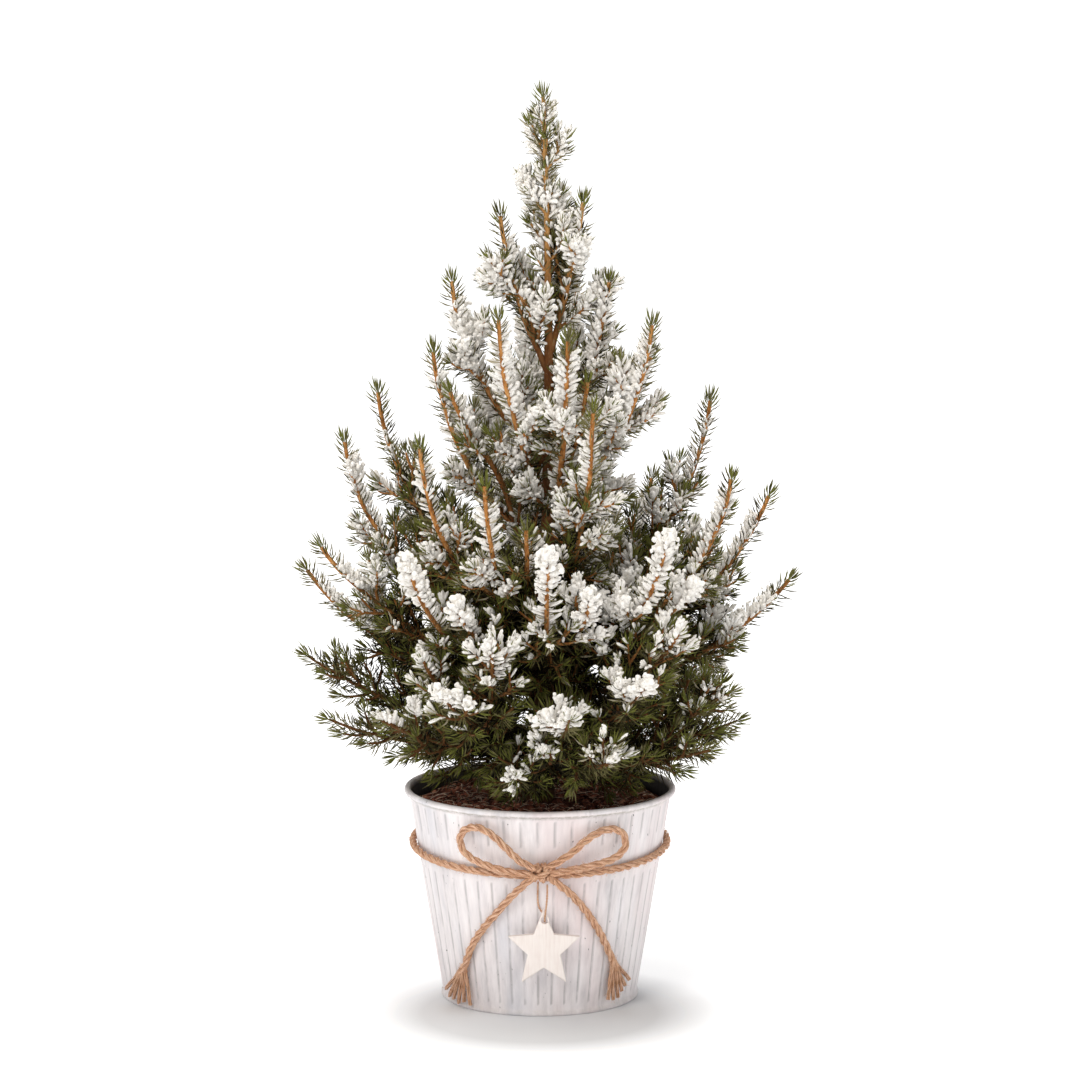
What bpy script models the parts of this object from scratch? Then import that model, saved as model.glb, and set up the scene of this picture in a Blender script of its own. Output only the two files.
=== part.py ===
"""A dwarf Alberta spruce, dusted with snow, in a whitewashed zinc pot tied with a twine bow and a star.

Metres, +Z up. The pot stands on the origin, and -Y is the side that carries the bow.
"""

import math
import random

import bmesh
import bpy
import numpy as np
from mathutils import Matrix, Vector

MM = 0.001
GAP = 0.3 * MM  # air between pieces that touch on the real thing
UP = Vector((0, 0, 1))
GOLDEN_ANGLE = math.radians(137.508)

# ---- the pot ----
POT_HEIGHT = 110.2 * MM
BASE_RADIUS = 51.2 * MM  # outside of the bead that the pot stands on
BASE_BEAD = 2.4 * MM
WALL_FOOT = (50.5 * MM, 3.2 * MM)  # radius and height where the plain wall starts
WALL_TOP = (67.7 * MM, 106.6 * MM)  # and where it runs into the rolled rim
RIM_BEAD = 1.7 * MM  # radius of the rolled rim
SHEET = 0.9 * MM  # zinc with its paint
PANELS = 48  # flats round the wall

# ---- the soil ----
SOIL_TOP = 102.0 * MM
SOIL_EDGE_DROP = 1.8 * MM
SOIL_ROUGHNESS = 0.9 * MM
SOIL_RINGS = 2
TRUNK_SEAT = 10.0 * MM  # radius of the level soil that the trunk stands on

# ---- the trunk ----
TREE_TOP = 471.5 * MM  # tip of the topmost needle
LEADER_TUFT = 7.0 * MM  # from the trunk's tip to that needle's tip
TRUNK_FOOT = SOIL_TOP + GAP
TRUNK_TIP = TREE_TOP - LEADER_TUFT
TRUNK_FOOT_RADIUS = 5.9 * MM
TRUNK_TIP_RADIUS = 0.9 * MM
TRUNK_TAPER = 1.25
ROOT_FLARE = 3.0 * MM
ROOT_FLARE_HEIGHT = 6.0 * MM
TRUNK_LEAN = 3.8 * MM  # how far its middle bows towards +X
TRUNK_TIP_SHIFT = 1.5 * MM
TRUNK_SIDES = 9
TRUNK_RINGS = 13

# ---- the limbs ----
# Azimuth in degrees from +X, reach and height of the tip in mm, and how many mm its fork ends above or
# below that tip (None where the limb has no fork).
LIMBS = {
    "low_left": (183, 126, 181, None),
    "low_left_under": (197, 119, 152, None),
    "low_left_front": (224, 116, 160, 34),
    "low_front_left": (246, 125, 178, 26),
    "low_front_hanging": (262, 101, 133, 13),
    "low_front": (277, 124, 168, -26),
    "low_front_right": (295, 128, 183, 27),
    "low_right_front": (323, 114, 142, 34),
    "low_right": (352, 109, 148, None),
    "low_back_right": (35, 119, 160, 25),
    "low_back": (83, 121, 166, 24),
    "low_back_left": (130, 120, 158, 26),
    "mid_left": (178, 126, 225, 17),
    "mid_left_spire": (168, 108, 291, None),
    "mid_left_back": (153, 99, 315, None),
    "mid_front_left": (236, 121, 241, -20),
    "mid_front_left_spire": (230, 97, 299, None),
    "mid_front_spire": (254, 104, 283, -22),
    "mid_front": (272, 116, 246, -20),
    "mid_front_right_spire": (288, 88, 318, None),
    "mid_front_right": (303, 119, 253, -26),
    "mid_right": (359, 134, 221, -14),
    "mid_right_spire": (11, 126, 262, None),
    "mid_right_front": (339, 108, 279, -18),
    "mid_right_back": (24, 101, 311, None),
    "mid_back_right": (58, 118, 262, 26),
    "mid_back": (92, 114, 274, 27),
    "mid_back_left": (125, 118, 258, 22),
    "top_front_spire": (248, 59, 362, None),
    "top_front": (283, 64, 352, -21),
    "top_left_front": (201, 61, 343, -19),
    "top_left": (177, 48, 377, None),
    "top_right_front": (336, 65, 357, -17),
    "top_right": (3, 37, 377, -30),
    "top_back": (98, 58, 358, -24),
    "top_back_right": (62, 74, 338, 34),
    "crown_left": (184, 22, 411, -24),
    "crown_right": (356, 23, 418, -16),
}
# Bare boughs carry these; the other masses are clad from the trunk.
ON_BOUGHS = (
    "low_left",
    "low_left_under",
    "low_front_left",
    "low_front",
    "low_front_right",
    "low_right_front",
    "low_right",
    "low_back_right",
)
TIP_HEIGHTS = (139, 181, 320, 350, 425)  # a limb's tip, in mm,
ROOT_HEIGHTS = (122, 139, 197, 240, 345)  # and where such a limb leaves the trunk
BARE_SHARE = 0.30  # of a bough's limb that carries no needles
BOUGH_SHADOW = 0.004  # share of the limb between the bough's end and its mass
BEND = 38.0  # degrees that a limb turns up, each side of its chord
BEND_SHARE = 0.85  # and at most this share of the chord's own rise
STEEPEST = 84.0
LIMB_STEPS = 10  # straight stretches in the line of a stem
BOUGH_STEPS = 3
BOUGH_SIDES = 5
BOUGH_RADIUS = 2.3 * MM
STEM_RADIUS = 1.5 * MM
STEM_TIP_RADIUS = 0.8 * MM
FORK_AT = 0.2  # share of the stem where its fork leaves
FORK_ANGLE = 38.0
FORK_TURN = 12.0  # degrees of azimuth between a limb's tip and its fork's
FORK_REACH = 0.94  # of the limb's

# ---- side shoots and needles ----
# A shoot is a slim three-sided core, and most faces of a core are drawn out to a point. Each point stands
# for a few needles, and is larger than life.
NEEDLE_LENGTH = 12.5 * MM
NEEDLE_ANGLE = 52.0  # off the shoot, and less towards its tip
TUFT_ANGLE = 30.0
TIP_SHORTENING = 0.16
SHORTER_NEEDLE = 0.62  # of one that has no room for its whole length
RING_SPACING = 10.5 * MM  # between the rings of a core
RING_TWIST = 68.0  # degrees from one ring to the next
STEM_BARE = 0.15  # share of a stem without needles, at the trunk
STEM_BARE_AT_BOUGH = 0.06
SIDE_SHOOTS = ((4,), (2, 1))  # on a stem alone, and on a stem and its fork
FIRST_SIDE_SHOOT = (0.2, 0.3)  # share of the stem, and of the fork, where they start
SIDE_SHOOT_TRIALS = 6
SIDE_SHOOT_LENGTH = 36 * MM
SIDE_SHOOT_ANGLE = 46.0
SIDE_SHOOT_LIFT = 0.35  # how far a side shoot bends up towards the sky
SIDE_SHOOT_RADIUS = 1.1 * MM
STEM_POINT = 0.7 * NEEDLE_LENGTH  # the needle that ends a stem or a fork
SHOOT_POINT = 0.6 * NEEDLE_LENGTH  # and the one that ends a side shoot
LEADER_FOOT = 402 * MM
LEADER_SIDES = 5
LEADER_WALL = 0.9 * MM
LEADER_BARE = 2.0 * MM
LEADER_SPACING = 8.4 * MM
LEADER_CAP = 0.5 * MM  # of the sleeve, over the trunk's tip
CELL = 1.4 * MM  # of the grid that keeps the shoots out of one another
COVER_SIDES = 8
SEED = 11

# ---- twine, knot and star ----
TWINE_RADIUS = 2.0 * MM
BAND_HEIGHT = 81.0 * MM  # of the twine at the pot's sides
BAND_DIP = 4.5 * MM  # lower at the front and higher at the back
BAND_STEPS = 32
KNOT_CENTRE = (0.6, 78.6, 5.0)  # across, height and standoff from the wall, in mm
KNOT_HALF = Vector((6.6, 4.3, 6.0)) * MM
TWINE_STEP = 6.6 * MM  # between the points of a length of twine
KNOT_AIR = 0.25 * MM  # more between the knot and what leaves it
THREAD_RADIUS = 0.5 * MM
THREAD_STEP = 5.0 * MM
THREAD_SLACK = 0.35 * MM  # between the thread and the edge of the star's hole
# Routes run over the pot's wall: across, height and standoff from the wall, in mm.
LOOP_LEFT = (
    (-2, 81, 7.0), (-10.6, 85.4, 6.4), (-18.9, 93.2, 5.2), (-25.4, 98.6, 4.4), (-32.3, 100.9, 3.8),
    (-38.2, 98.6, 3.8), (-40.4, 92.6, 5.0), (-36.6, 86.2, 6.9), (-27.2, 82.0, 7.4), (-14.8, 79.2, 7.4),
    (-3, 78.0, 7.2),
)
LOOP_RIGHT = (
    (3, 81, 7.0), (14.6, 88.0, 6.2), (23.1, 95.0, 5.2), (31.4, 99.2, 4.2), (38.6, 98.8, 3.8),
    (42.9, 94.2, 4.6), (42.2, 88.0, 6.2), (35.6, 83.8, 7.3), (22.1, 81.2, 7.4), (10.5, 79.4, 7.4),
    (3, 78.4, 7.2),
)
TAIL_LEFT = (
    (-2, 78, 6.6), (-8.6, 72.0, 6.4), (-15.8, 63.9, 4.4), (-23.1, 54.3, 3.2), (-29.4, 45.7, 2.7),
    (-34.7, 36.0, 2.7), (-37.9, 26.3, 2.8), (-40.2, 20.0, 3.0),
)
TAIL_RIGHT = (
    (3, 78, 6.6), (8.9, 73.0, 6.4), (16.0, 66.2, 4.6), (23.3, 56.5, 3.2), (29.6, 45.7, 2.7),
    (33.8, 36.1, 2.7), (37.1, 27.6, 2.8), (39.4, 22.4, 3.0),
)
# Where each tail's loosened strands end.
FRINGE_LEFT = (
    (-48.4, 7.4, 3.0), (-46.6, 4.2, 3.4), (-44.4, 3.0, 2.4), (-41.8, 2.6, 3.2), (-39.0, 2.6, 2.4),
    (-35.6, 3.0, 2.8),
)
FRINGE_RIGHT = (
    (34.9, 6.2, 2.8), (37.4, 5.4, 3.4), (39.8, 5.6, 2.4), (41.8, 8.2, 3.2), (43.6, 11.4, 2.4),
    (45.8, 13.4, 2.8),
)
FRINGE_RADIUS = 1.0 * MM
FRINGE_CROWN = 3.2 * MM  # length of the whole twine above the loose strands
STAR_CENTRE = (2.0 * MM, 38.5 * MM)  # across and height
STAR_OUTER = Vector((19.3, 21.2)) * MM
STAR_INNER_SHARE = 0.45
STAR_THICKNESS = 3.0 * MM
STAR_BEVEL = 0.4 * MM
STAR_HOLE = (2.4 * MM, 53.4 * MM)
STAR_HOLE_RADIUS = 1.5 * MM
STAR_STANDOFF = 2.2 * MM  # from the wall to the star's back, at the star's top


# ---- materials ----

def finish(name, colour, roughness, metallic=0.0):
    """A Principled material, made once for each name."""
    known = bpy.data.materials.get(name)
    if known:
        return known
    material = bpy.data.materials.new(name)
    material.use_nodes = True
    shader = material.node_tree.nodes["Principled BSDF"]
    shader.inputs["Base Color"].default_value = (*colour, 1)
    shader.inputs["Roughness"].default_value = roughness
    shader.inputs["Metallic"].default_value = metallic
    return material


def zinc():
    return finish("whitewashed_zinc", (0.72, 0.70, 0.70), 0.55, 0.2)


def soil():
    return finish("peat_soil", (0.06, 0.028, 0.02), 0.95)


def bark():
    return finish("orange_bark", (0.36, 0.16, 0.05), 0.75)


def needles():
    return finish("snowy_needles", (0.30, 0.34, 0.27), 0.7)


def jute():
    return finish("jute_twine", (0.56, 0.34, 0.18), 0.85)


def white_wood():
    return finish("white_painted_wood", (0.88, 0.82, 0.78), 0.6)


# ---- shapes ----

def linked(name, data):
    """An object in the scene for a mesh or a curve."""
    made = bpy.data.objects.new(name, data)
    bpy.context.scene.collection.objects.link(made)
    return made


def circle(centre, along, radius, sides, side=None):
    """Points round a centre, counter-clockwise as seen against along."""
    side = (side or along.orthogonal()).normalized()
    return [centre + Matrix.Rotation(math.tau * k / sides, 3, along) @ side * radius for k in range(sides)]


def drawn_on(shaped, face, ring):
    """Extrudes a face to a new ring of corners, and returns the face at its end."""
    ahead = bmesh.ops.extrude_discrete_faces(shaped, faces=[face])["faces"][0]
    for corner, place in zip(ahead.verts, ring):
        corner.co = place
    return ahead


def extruded(name, rings, material):
    """A closed body whose flat end is drawn on from ring to ring."""
    shaped = bmesh.new()
    face = shaped.faces.new([shaped.verts.new(p) for p in rings[0]])
    for ring in rings[1:]:
        face = drawn_on(shaped, face, ring)
    return made_from(shaped, name, material)


def made_from(shaped, name, material):
    """An object from a bmesh, closed at its root, with its faces turned outwards."""
    bmesh.ops.holes_fill(shaped, edges=shaped.edges)
    bmesh.ops.recalc_face_normals(shaped, faces=shaped.faces)
    mesh = bpy.data.meshes.new(name)
    shaped.to_mesh(mesh)
    shaped.free()
    mesh.materials.append(material)
    mesh.shade_smooth()
    mesh.set_sharp_from_angle(angle=math.radians(40))
    return linked(name, mesh)


def tube(name, line, radii, sides, material):
    """A tapering tube along a line."""
    side, last, rings = (line[1] - line[0]).orthogonal(), len(line) - 1, []
    for i, centre in enumerate(line):
        along = (line[min(i + 1, last)] - line[max(i - 1, 0)]).normalized()
        side -= side.dot(along) * along
        rings.append(circle(centre, along, radii[i], sides, side))
    return extruded(name, rings, material)


def tapering(line, thick, thin):
    """A radius for each point of a line."""
    return np.linspace(thick, thin, len(line))


def cord(name, line, radius, material):
    """A round cord along a line."""
    curve = bpy.data.curves.new(name, "CURVE")
    curve.dimensions = "3D"
    spline = curve.splines.new("POLY")
    spline.points.add(len(line) - 1)
    for point, place in zip(spline.points, line):
        point.co = (*place, 1)
    curve.bevel_depth = radius
    curve.bevel_resolution = 2
    curve.use_fill_caps = True
    curve.materials.append(material)
    return linked(name, curve)


def fused(pieces):
    """The first piece with the others joined to it."""
    first, *others = pieces
    rest = bpy.data.collections.new(first.name + "_pieces")
    bpy.context.scene.collection.children.link(rest)
    for piece in others:
        bpy.context.scene.collection.objects.unlink(piece)
        rest.objects.link(piece)
    union = first.modifiers.new("fuse", "BOOLEAN")
    union.operation = "UNION"
    union.operand_type = "COLLECTION"
    union.solver = "MANIFOLD"
    union.collection = rest
    joined = bpy.data.meshes.new_from_object(first.evaluated_get(bpy.context.evaluated_depsgraph_get()))
    first.modifiers.clear()
    first.data = joined
    for piece in others:
        bpy.data.objects.remove(piece)
    bpy.data.collections.remove(rest)


def drilled(body, line, radii, sides, solver):
    """Cuts a round hole along a line out of a body."""
    drill = tube(body.name + "_drill", line, radii, sides, body.data.materials[0])
    drill.hide_render = True
    drill.display_type = "WIRE"
    hole = body.modifiers.new("hole", "BOOLEAN")
    hole.operation = "DIFFERENCE"
    hole.solver = solver
    hole.object = drill


# ---- lines ----

def smooth_line(points, step):
    """Points about step apart along the smooth curve through the given ones."""
    points = [Vector(p) for p in points]
    ends = [2 * points[0] - points[1], *points, 2 * points[-1] - points[-2]]
    fine = []
    for a, b, c, d in zip(ends, ends[1:], ends[2:], ends[3:]):
        for k in range(12):
            t = k / 12
            fine.append(0.5 * (2 * b + (c - a) * t + (2 * a - 5 * b + 4 * c - d) * t**2
                               + (3 * b - a - 3 * c + d) * t**3))
    return even_line([*fine, points[-1]], step)


def even_line(line, step):
    """The same line with points evenly spaced, about step apart."""
    line = np.array([tuple(p) for p in line])
    along = np.concatenate([[0], np.cumsum(np.linalg.norm(np.diff(line, axis=0), axis=1))])
    at = np.linspace(0, along[-1], max(2, round(along[-1] / step) + 1))
    return [Vector(p) for p in zip(*(np.interp(at, along, line[:, k]) for k in range(3)))]


def bezier(a, b, c, d):
    """The curve with these ends and handles, as a function of 0 to 1."""
    return lambda t: (1 - t) ** 3 * a + 3 * t * (1 - t) ** 2 * b + 3 * t**2 * (1 - t) * c + t**3 * d


def along_curve(curve, first, last, steps):
    return [curve(first + (last - first) * k / steps) for k in range(steps + 1)]


def line_length(line):
    return sum((q - p).length for p, q in zip(line, line[1:]))


def place_on(line, at):
    """(point, direction) at a distance along a line."""
    for p, q in zip(line, line[1:]):
        step = (q - p).length
        if at <= step or q is line[-1]:
            return p.lerp(q, at / step), (q - p).normalized()
        at -= step


def compass(azimuth, rise=0.0):
    """The direction of an azimuth and a rise, both in degrees."""
    a, e = math.radians(azimuth), math.radians(rise)
    return Vector((math.cos(a) * math.cos(e), math.sin(a) * math.cos(e), math.sin(e)))


def leaning(along, out, angle):
    """The direction that leans off along, towards out, by an angle in degrees."""
    out = (out - out.dot(along) * along).normalized()
    return along * math.cos(math.radians(angle)) + out * math.sin(math.radians(angle))


# ---- pot and soil ----

def wall_radius(height):
    """The pot's outer radius at a height of its plain wall."""
    (foot, low), (top, high) = WALL_FOOT, WALL_TOP
    return foot + (top - foot) * (height - low) / (high - low)


def build_pot():
    """The sheet, bent over into a rolled rim, by spinning its outline."""
    bead_centre = (WALL_TOP[0] - SHEET + RIM_BEAD, POT_HEIGHT - RIM_BEAD)
    bead = [(bead_centre[0] + RIM_BEAD * math.cos(math.radians(turn)),
             bead_centre[1] + RIM_BEAD * math.sin(math.radians(turn))) for turn in (-60, 0, 60, 120)]
    outline = [
        (0, 0),
        (BASE_RADIUS - 0.8 * MM, 0),
        (BASE_RADIUS, 0.8 * MM),
        (BASE_RADIUS, BASE_BEAD),
        WALL_FOOT,
        WALL_TOP,
        *bead,
        (WALL_TOP[0] - SHEET, WALL_TOP[1]),
        (WALL_FOOT[0] - SHEET, SHEET),
        (0, SHEET),
    ]
    shaped = bmesh.new()
    line = [shaped.verts.new((radius, 0, height)) for radius, height in outline]
    edges = [shaped.edges.new(pair) for pair in zip(line, line[1:])]
    bmesh.ops.spin(shaped, geom=line + edges, axis=UP, angle=math.tau, steps=PANELS)
    bmesh.ops.remove_doubles(shaped, verts=shaped.verts, dist=0.01 * MM)
    made_from(shaped, "pot", zinc())


def soil_point(turn, depth):
    """A point of the rough soil: depth is 0 at the trunk's seat and 1 at the pot's wall."""
    radius = TRUNK_SEAT + (wall_radius(SOIL_TOP) - SHEET - 2 * GAP - TRUNK_SEAT) * depth
    x, y = radius * math.cos(turn), radius * math.sin(turn)
    swell = math.sin(170 * x + 1.3) * math.cos(210 * y) + 0.6 * math.sin(390 * (x + y))
    height = SOIL_TOP - SOIL_EDGE_DROP * depth**2 + SOIL_ROUGHNESS * swell * min(1.0, 3 * depth)
    if depth == 1:
        shrink = (wall_radius(height) - SHEET - 2 * GAP) / radius
        x, y = x * shrink, y * shrink
    return Vector((x, y, height))


def build_soil():
    turns = [math.tau * k / PANELS for k in range(PANELS)]
    rings = [circle(UP * (SHEET + GAP), UP, WALL_FOOT[0] - SHEET - 2 * GAP, PANELS, compass(0))]
    for ring in range(SOIL_RINGS + 1):
        rings.append([soil_point(turn, 1 - ring / SOIL_RINGS) for turn in turns])
    extruded("soil", rings, soil())


# ---- trunk and limbs ----

def trunk_share(height):
    """0 at the trunk's foot and 1 at its tip."""
    return min(1.0, max(0.0, (height - TRUNK_FOOT) / (TRUNK_TIP - TRUNK_FOOT)))


def trunk_centre(height):
    t = trunk_share(height)
    return Vector((TRUNK_LEAN * math.sin(math.pi * t) ** 0.8 + TRUNK_TIP_SHIFT * t, 0, height))


def trunk_radius(height):
    taper = (1 - trunk_share(height)) ** TRUNK_TAPER
    flare = ROOT_FLARE * math.exp((TRUNK_FOOT - height) / ROOT_FLARE_HEIGHT)
    return TRUNK_TIP_RADIUS + (TRUNK_FOOT_RADIUS - TRUNK_TIP_RADIUS) * taper + flare


def build_trunk():
    rings = []
    for k in range(TRUNK_RINGS):
        height = TRUNK_FOOT + (TRUNK_TIP - TRUNK_FOOT) * (k / (TRUNK_RINGS - 1)) ** 1.15
        rings.append(circle(trunk_centre(height), UP, trunk_radius(height), TRUNK_SIDES, compass(0)))
    extruded("trunk", rings, bark())


def limb_curve(name):
    """The curve of a limb's stem, from the trunk's bark to the root of its last needles."""
    azimuth, reach, tip, _ = LIMBS[name]
    outward = compass(azimuth)
    root = float(np.interp(tip, TIP_HEIGHTS, ROOT_HEIGHTS)) * MM
    radius = BOUGH_RADIUS if name in ON_BOUGHS else STEM_RADIUS
    start = trunk_centre(root) + outward * (trunk_radius(root) + GAP + 0.9 * radius)
    end = outward * reach * MM + UP * tip * MM
    end -= (end - start).normalized() * 0.55 * NEEDLE_LENGTH
    chord = end - start
    rise = math.degrees(math.atan2(chord.z, math.hypot(chord.x, chord.y)))
    bend = max(0.0, min(BEND, BEND_SHARE * abs(rise), STEEPEST - rise))
    handle = 0.36 * chord.length
    return bezier(start, start + compass(azimuth, rise - bend) * handle,
                  end - compass(azimuth, rise + bend) * handle, end)


# ---- the masses of needles ----

class Space:
    """A fine grid that tells what fills each cell, so that the nodes stay clear of one another.

    An owner is the name of a node and a slash, and for one shoot of a mass its number and a slash too.
    """

    def __init__(self):
        self.owners = {}

    def cells(self, points):
        return {(round(p.x / CELL), round(p.y / CELL), round(p.z / CELL)) for p in points}

    def take(self, owner, points):
        for cell in self.cells(points):
            self.owners.setdefault(cell, set()).add(owner)

    def free(self, owner, points):
        """Whether all that is near the points belongs to the owner."""
        near = set()
        for x, y, z in self.cells(points):
            for i in (x - 1, x, x + 1):
                for j in (y - 1, y, y + 1):
                    near.update(((i, j, z - 1), (i, j, z), (i, j, z + 1)))
        return all(held.startswith(owner) for cell in near for held in self.owners.get(cell, ()))


def tube_cover(line, radius):
    """Points all over a tube."""
    covered = []
    for p, q in zip(line, line[1:]):
        steps = max(1, math.ceil((q - p).length / CELL))
        for k in range(steps + 1):
            covered += circle(p.lerp(q, k / steps), (q - p).normalized(), radius, COVER_SIDES)
    return covered


def triangle_cover(a, b, c):
    """Points all over a triangle."""
    steps = max(1, math.ceil(max((b - a).length, (c - a).length, (c - b).length) / (0.8 * CELL)))
    u, v = (b - a) / steps, (c - a) / steps
    return [a + u * i + v * j for i in range(steps + 1) for j in range(steps + 1 - i)]


def above_pot(point, radius):
    """Whether a ball round a point is clear of the pot's rim and of the soil."""
    inside = math.hypot(point.x, point.y) < WALL_TOP[0] - 2 * MM
    return point.z > (SOIL_TOP + 2 * MM if inside else POT_HEIGHT + MM) + radius


class Mass:
    """The one closed skin of a group of shoots. Each is drawn out of a face of the shoot that bears it."""

    def __init__(self, name, start, along, radius, sides=3):
        self.name, self.skin, self.shoots, self.lines = name, bmesh.new(), 0, []
        self.spots = []  # (face, centre of the shoot there, its direction, share of its length, its number)
        self.root = self.skin.faces.new([self.skin.verts.new(p) for p in circle(start, along, radius, sides)])

    def owner(self, number):
        return f"{self.name}/{number}/"

    def grow(self, face, line, radii, bare, spacing, twist, point):
        """A shoot out of a face: the length of its bare foot and of the point that ends it are given."""
        long, (thick, thin) = line_length(line), radii
        count = max(1, round((long - bare) / spacing))
        for stop in range(count + 1):
            at = bare + (long - bare) * stop / count
            centre, along = place_on(line, at)
            ring = turned_on(face, centre, along, thick + (thin - thick) * at / long, twist)
            face = drawn_on(self.skin, face, ring)
            sides = [loop.link_loop_radial_next.face for loop in face.loops]
            sides = bmesh.ops.triangulate(self.skin, faces=sides, quad_method="FIXED")["faces"]
            if stop:
                self.spots += [(side, centre, along, at / long, self.shoots) for side in sides]
        self.draw_out(face, line[-1] + along * point)
        self.shoots += 1

    def draw_out(self, face, tip):
        """Draws a face out to a point."""
        bmesh.ops.poke(self.skin, faces=[face])["verts"][0].co = tip

    def spot(self, number, share, toward):
        """The spot of a shoot that is nearest to a share of its length and looks most nearly toward."""
        def fit(spot):
            face, centre, along, at, _ = spot
            return leaning(along, face.calc_center_median() - centre, 90).dot(toward) - 9 * abs(at - share)
        return max((s for s in self.spots if s[4] == number and s[0].is_valid), key=fit)

    def draw_needles(self, space):
        """Draws out every face that has the room; nearer the tip the needles lie closer to the shoot."""
        for face, centre, along, share, number in self.spots:
            if not face.is_valid:
                continue
            middle, (a, b, c) = face.calc_center_median(), [corner.co for corner in face.verts]
            angle = NEEDLE_ANGLE + (TUFT_ANGLE - NEEDLE_ANGLE) * share**3
            way = leaning(along, middle - centre, angle)
            for length in (1.0, SHORTER_NEEDLE):
                tip = middle + way * NEEDLE_LENGTH * length * (1.04 - TIP_SHORTENING * share)
                cover = triangle_cover(a, b, tip) + triangle_cover(b, c, tip) + triangle_cover(c, a, tip)
                if above_pot(tip, 0) and space.free(self.owner(number), cover):
                    space.take(self.owner(number), cover)
                    self.draw_out(face, tip)
                    break


def turned_on(face, centre, along, radius, twist):
    """A ring round a centre with a corner for each of a face's, turned on by twist degrees."""
    middle, side = face.calc_center_median(), Vector()
    for k, corner in enumerate(face.verts):
        back = math.radians(twist) - math.tau * k / len(face.verts)
        side += Matrix.Rotation(back, 3, along) @ (corner.co - middle)
    return circle(centre, along, radius, len(face.verts), side - side.dot(along) * along)


def grow_stem(name, space):
    """A mass with its stem alone."""
    on_bough = name in ON_BOUGHS
    line = along_curve(limb_curve(name), BARE_SHARE + BOUGH_SHADOW if on_bough else 0.0, 1.0, LIMB_STEPS)
    mass = Mass(name + "_needles", line[0], (line[1] - line[0]).normalized(), STEM_RADIUS)
    bare = (STEM_BARE_AT_BOUGH if on_bough else STEM_BARE) * line_length(line)
    mass.grow(mass.root, line, (STEM_RADIUS, STEM_TIP_RADIUS), bare, RING_SPACING, RING_TWIST, STEM_POINT)
    space.take(mass.owner(0), tube_cover(line, STEM_RADIUS))
    mass.lines.append(line)
    return mass


def fork_line(start, way, end):
    """A fork's line: it leaves its stem at a slant and bends up to its end."""
    out, long = (end - start).normalized(), (end - start).length
    end = end - out * 0.6 * NEEDLE_LENGTH
    home = (out + 0.5 * UP).normalized()
    curve = bezier(start, start + way * long * 0.33, end - home * long * 0.3, end)
    return along_curve(curve, 0, 1, LIMB_STEPS)


def grow_fork(mass, name, space):
    """The second leader of a mass, on the side of its limb that has the room."""
    azimuth, reach, height, rise = LIMBS[name]
    for turn in (FORK_TURN, -FORK_TURN):
        end = compass(azimuth + turn) * FORK_REACH * reach * MM + UP * (height + rise) * MM
        face, centre, along, _, _ = mass.spot(0, FORK_AT, (end - mass.lines[0][2]).normalized())
        start = face.calc_center_median()
        line = fork_line(start, leaning(along, start - centre, FORK_ANGLE), end)
        cover = tube_cover(line, STEM_RADIUS)
        if space.free(mass.name + "/", cover):
            space.take(mass.owner(mass.shoots), cover)
            bare = 2.3 * STEM_RADIUS / math.sin(math.radians(FORK_ANGLE))
            mass.grow(face, line, (STEM_RADIUS, STEM_TIP_RADIUS), bare, RING_SPACING, RING_TWIST, STEM_POINT)
            mass.lines.append(line)
            return


def side_shoot_line(start, way, length):
    """A side shoot that leaves its stem at a slant and bends up."""
    middle = start + way * length * 0.5
    return [start, middle, middle + (way + SIDE_SHOOT_LIFT * UP).normalized() * length * 0.5]


def grow_side_shoots(mass, space, rng):
    """Side shoots by the golden angle, shorter towards the tip; those that would touch are skipped."""
    counts = SIDE_SHOOTS[len(mass.lines) - 1]
    for bearer, (line, count) in enumerate(zip(mass.lines, counts)):
        turn = rng.uniform(0, math.tau)
        for k in range(count):
            share = FIRST_SIDE_SHOOT[bearer] + 0.5 * (k + rng.uniform(0.3, 0.7)) / count
            length = SIDE_SHOOT_LENGTH * (1.1 - 0.6 * share) * rng.uniform(0.85, 1.15)
            length = min(length, 0.5 * line_length(line))
            for _ in range(SIDE_SHOOT_TRIALS):
                turn += GOLDEN_ANGLE
                if grow_side_shoot(mass, bearer, share, turn, length, space):
                    break


def grow_side_shoot(mass, bearer, share, turn, length, space):
    """One side shoot, turned from straight up round its bearer; False where it has no room."""
    line = mass.lines[bearer]
    along = place_on(line, share * line_length(line))[1]
    toward = Matrix.Rotation(turn, 3, along) @ leaning(along, UP, 90)
    face, centre, along, _, _ = mass.spot(bearer, share, toward)
    start = face.calc_center_median()
    shoot = side_shoot_line(start, leaning(along, start - centre, SIDE_SHOOT_ANGLE), length)
    cover = tube_cover(shoot, SIDE_SHOOT_RADIUS)
    outer = tube_cover([shoot[0].lerp(shoot[1], 0.7), *shoot[1:]], SIDE_SHOOT_RADIUS)
    high = all(above_pot(p, 0.6 * NEEDLE_LENGTH) for p in outer)
    owner = mass.owner(mass.shoots)
    if not (high and space.free(mass.name + "/", cover) and space.free(owner, outer)):
        return False
    space.take(owner, cover)
    bare = 1.3 * (STEM_RADIUS + SIDE_SHOOT_RADIUS)
    mass.grow(face, shoot, (SIDE_SHOOT_RADIUS, STEM_TIP_RADIUS), bare, RING_SPACING, RING_TWIST, SHOOT_POINT)
    return True


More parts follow.
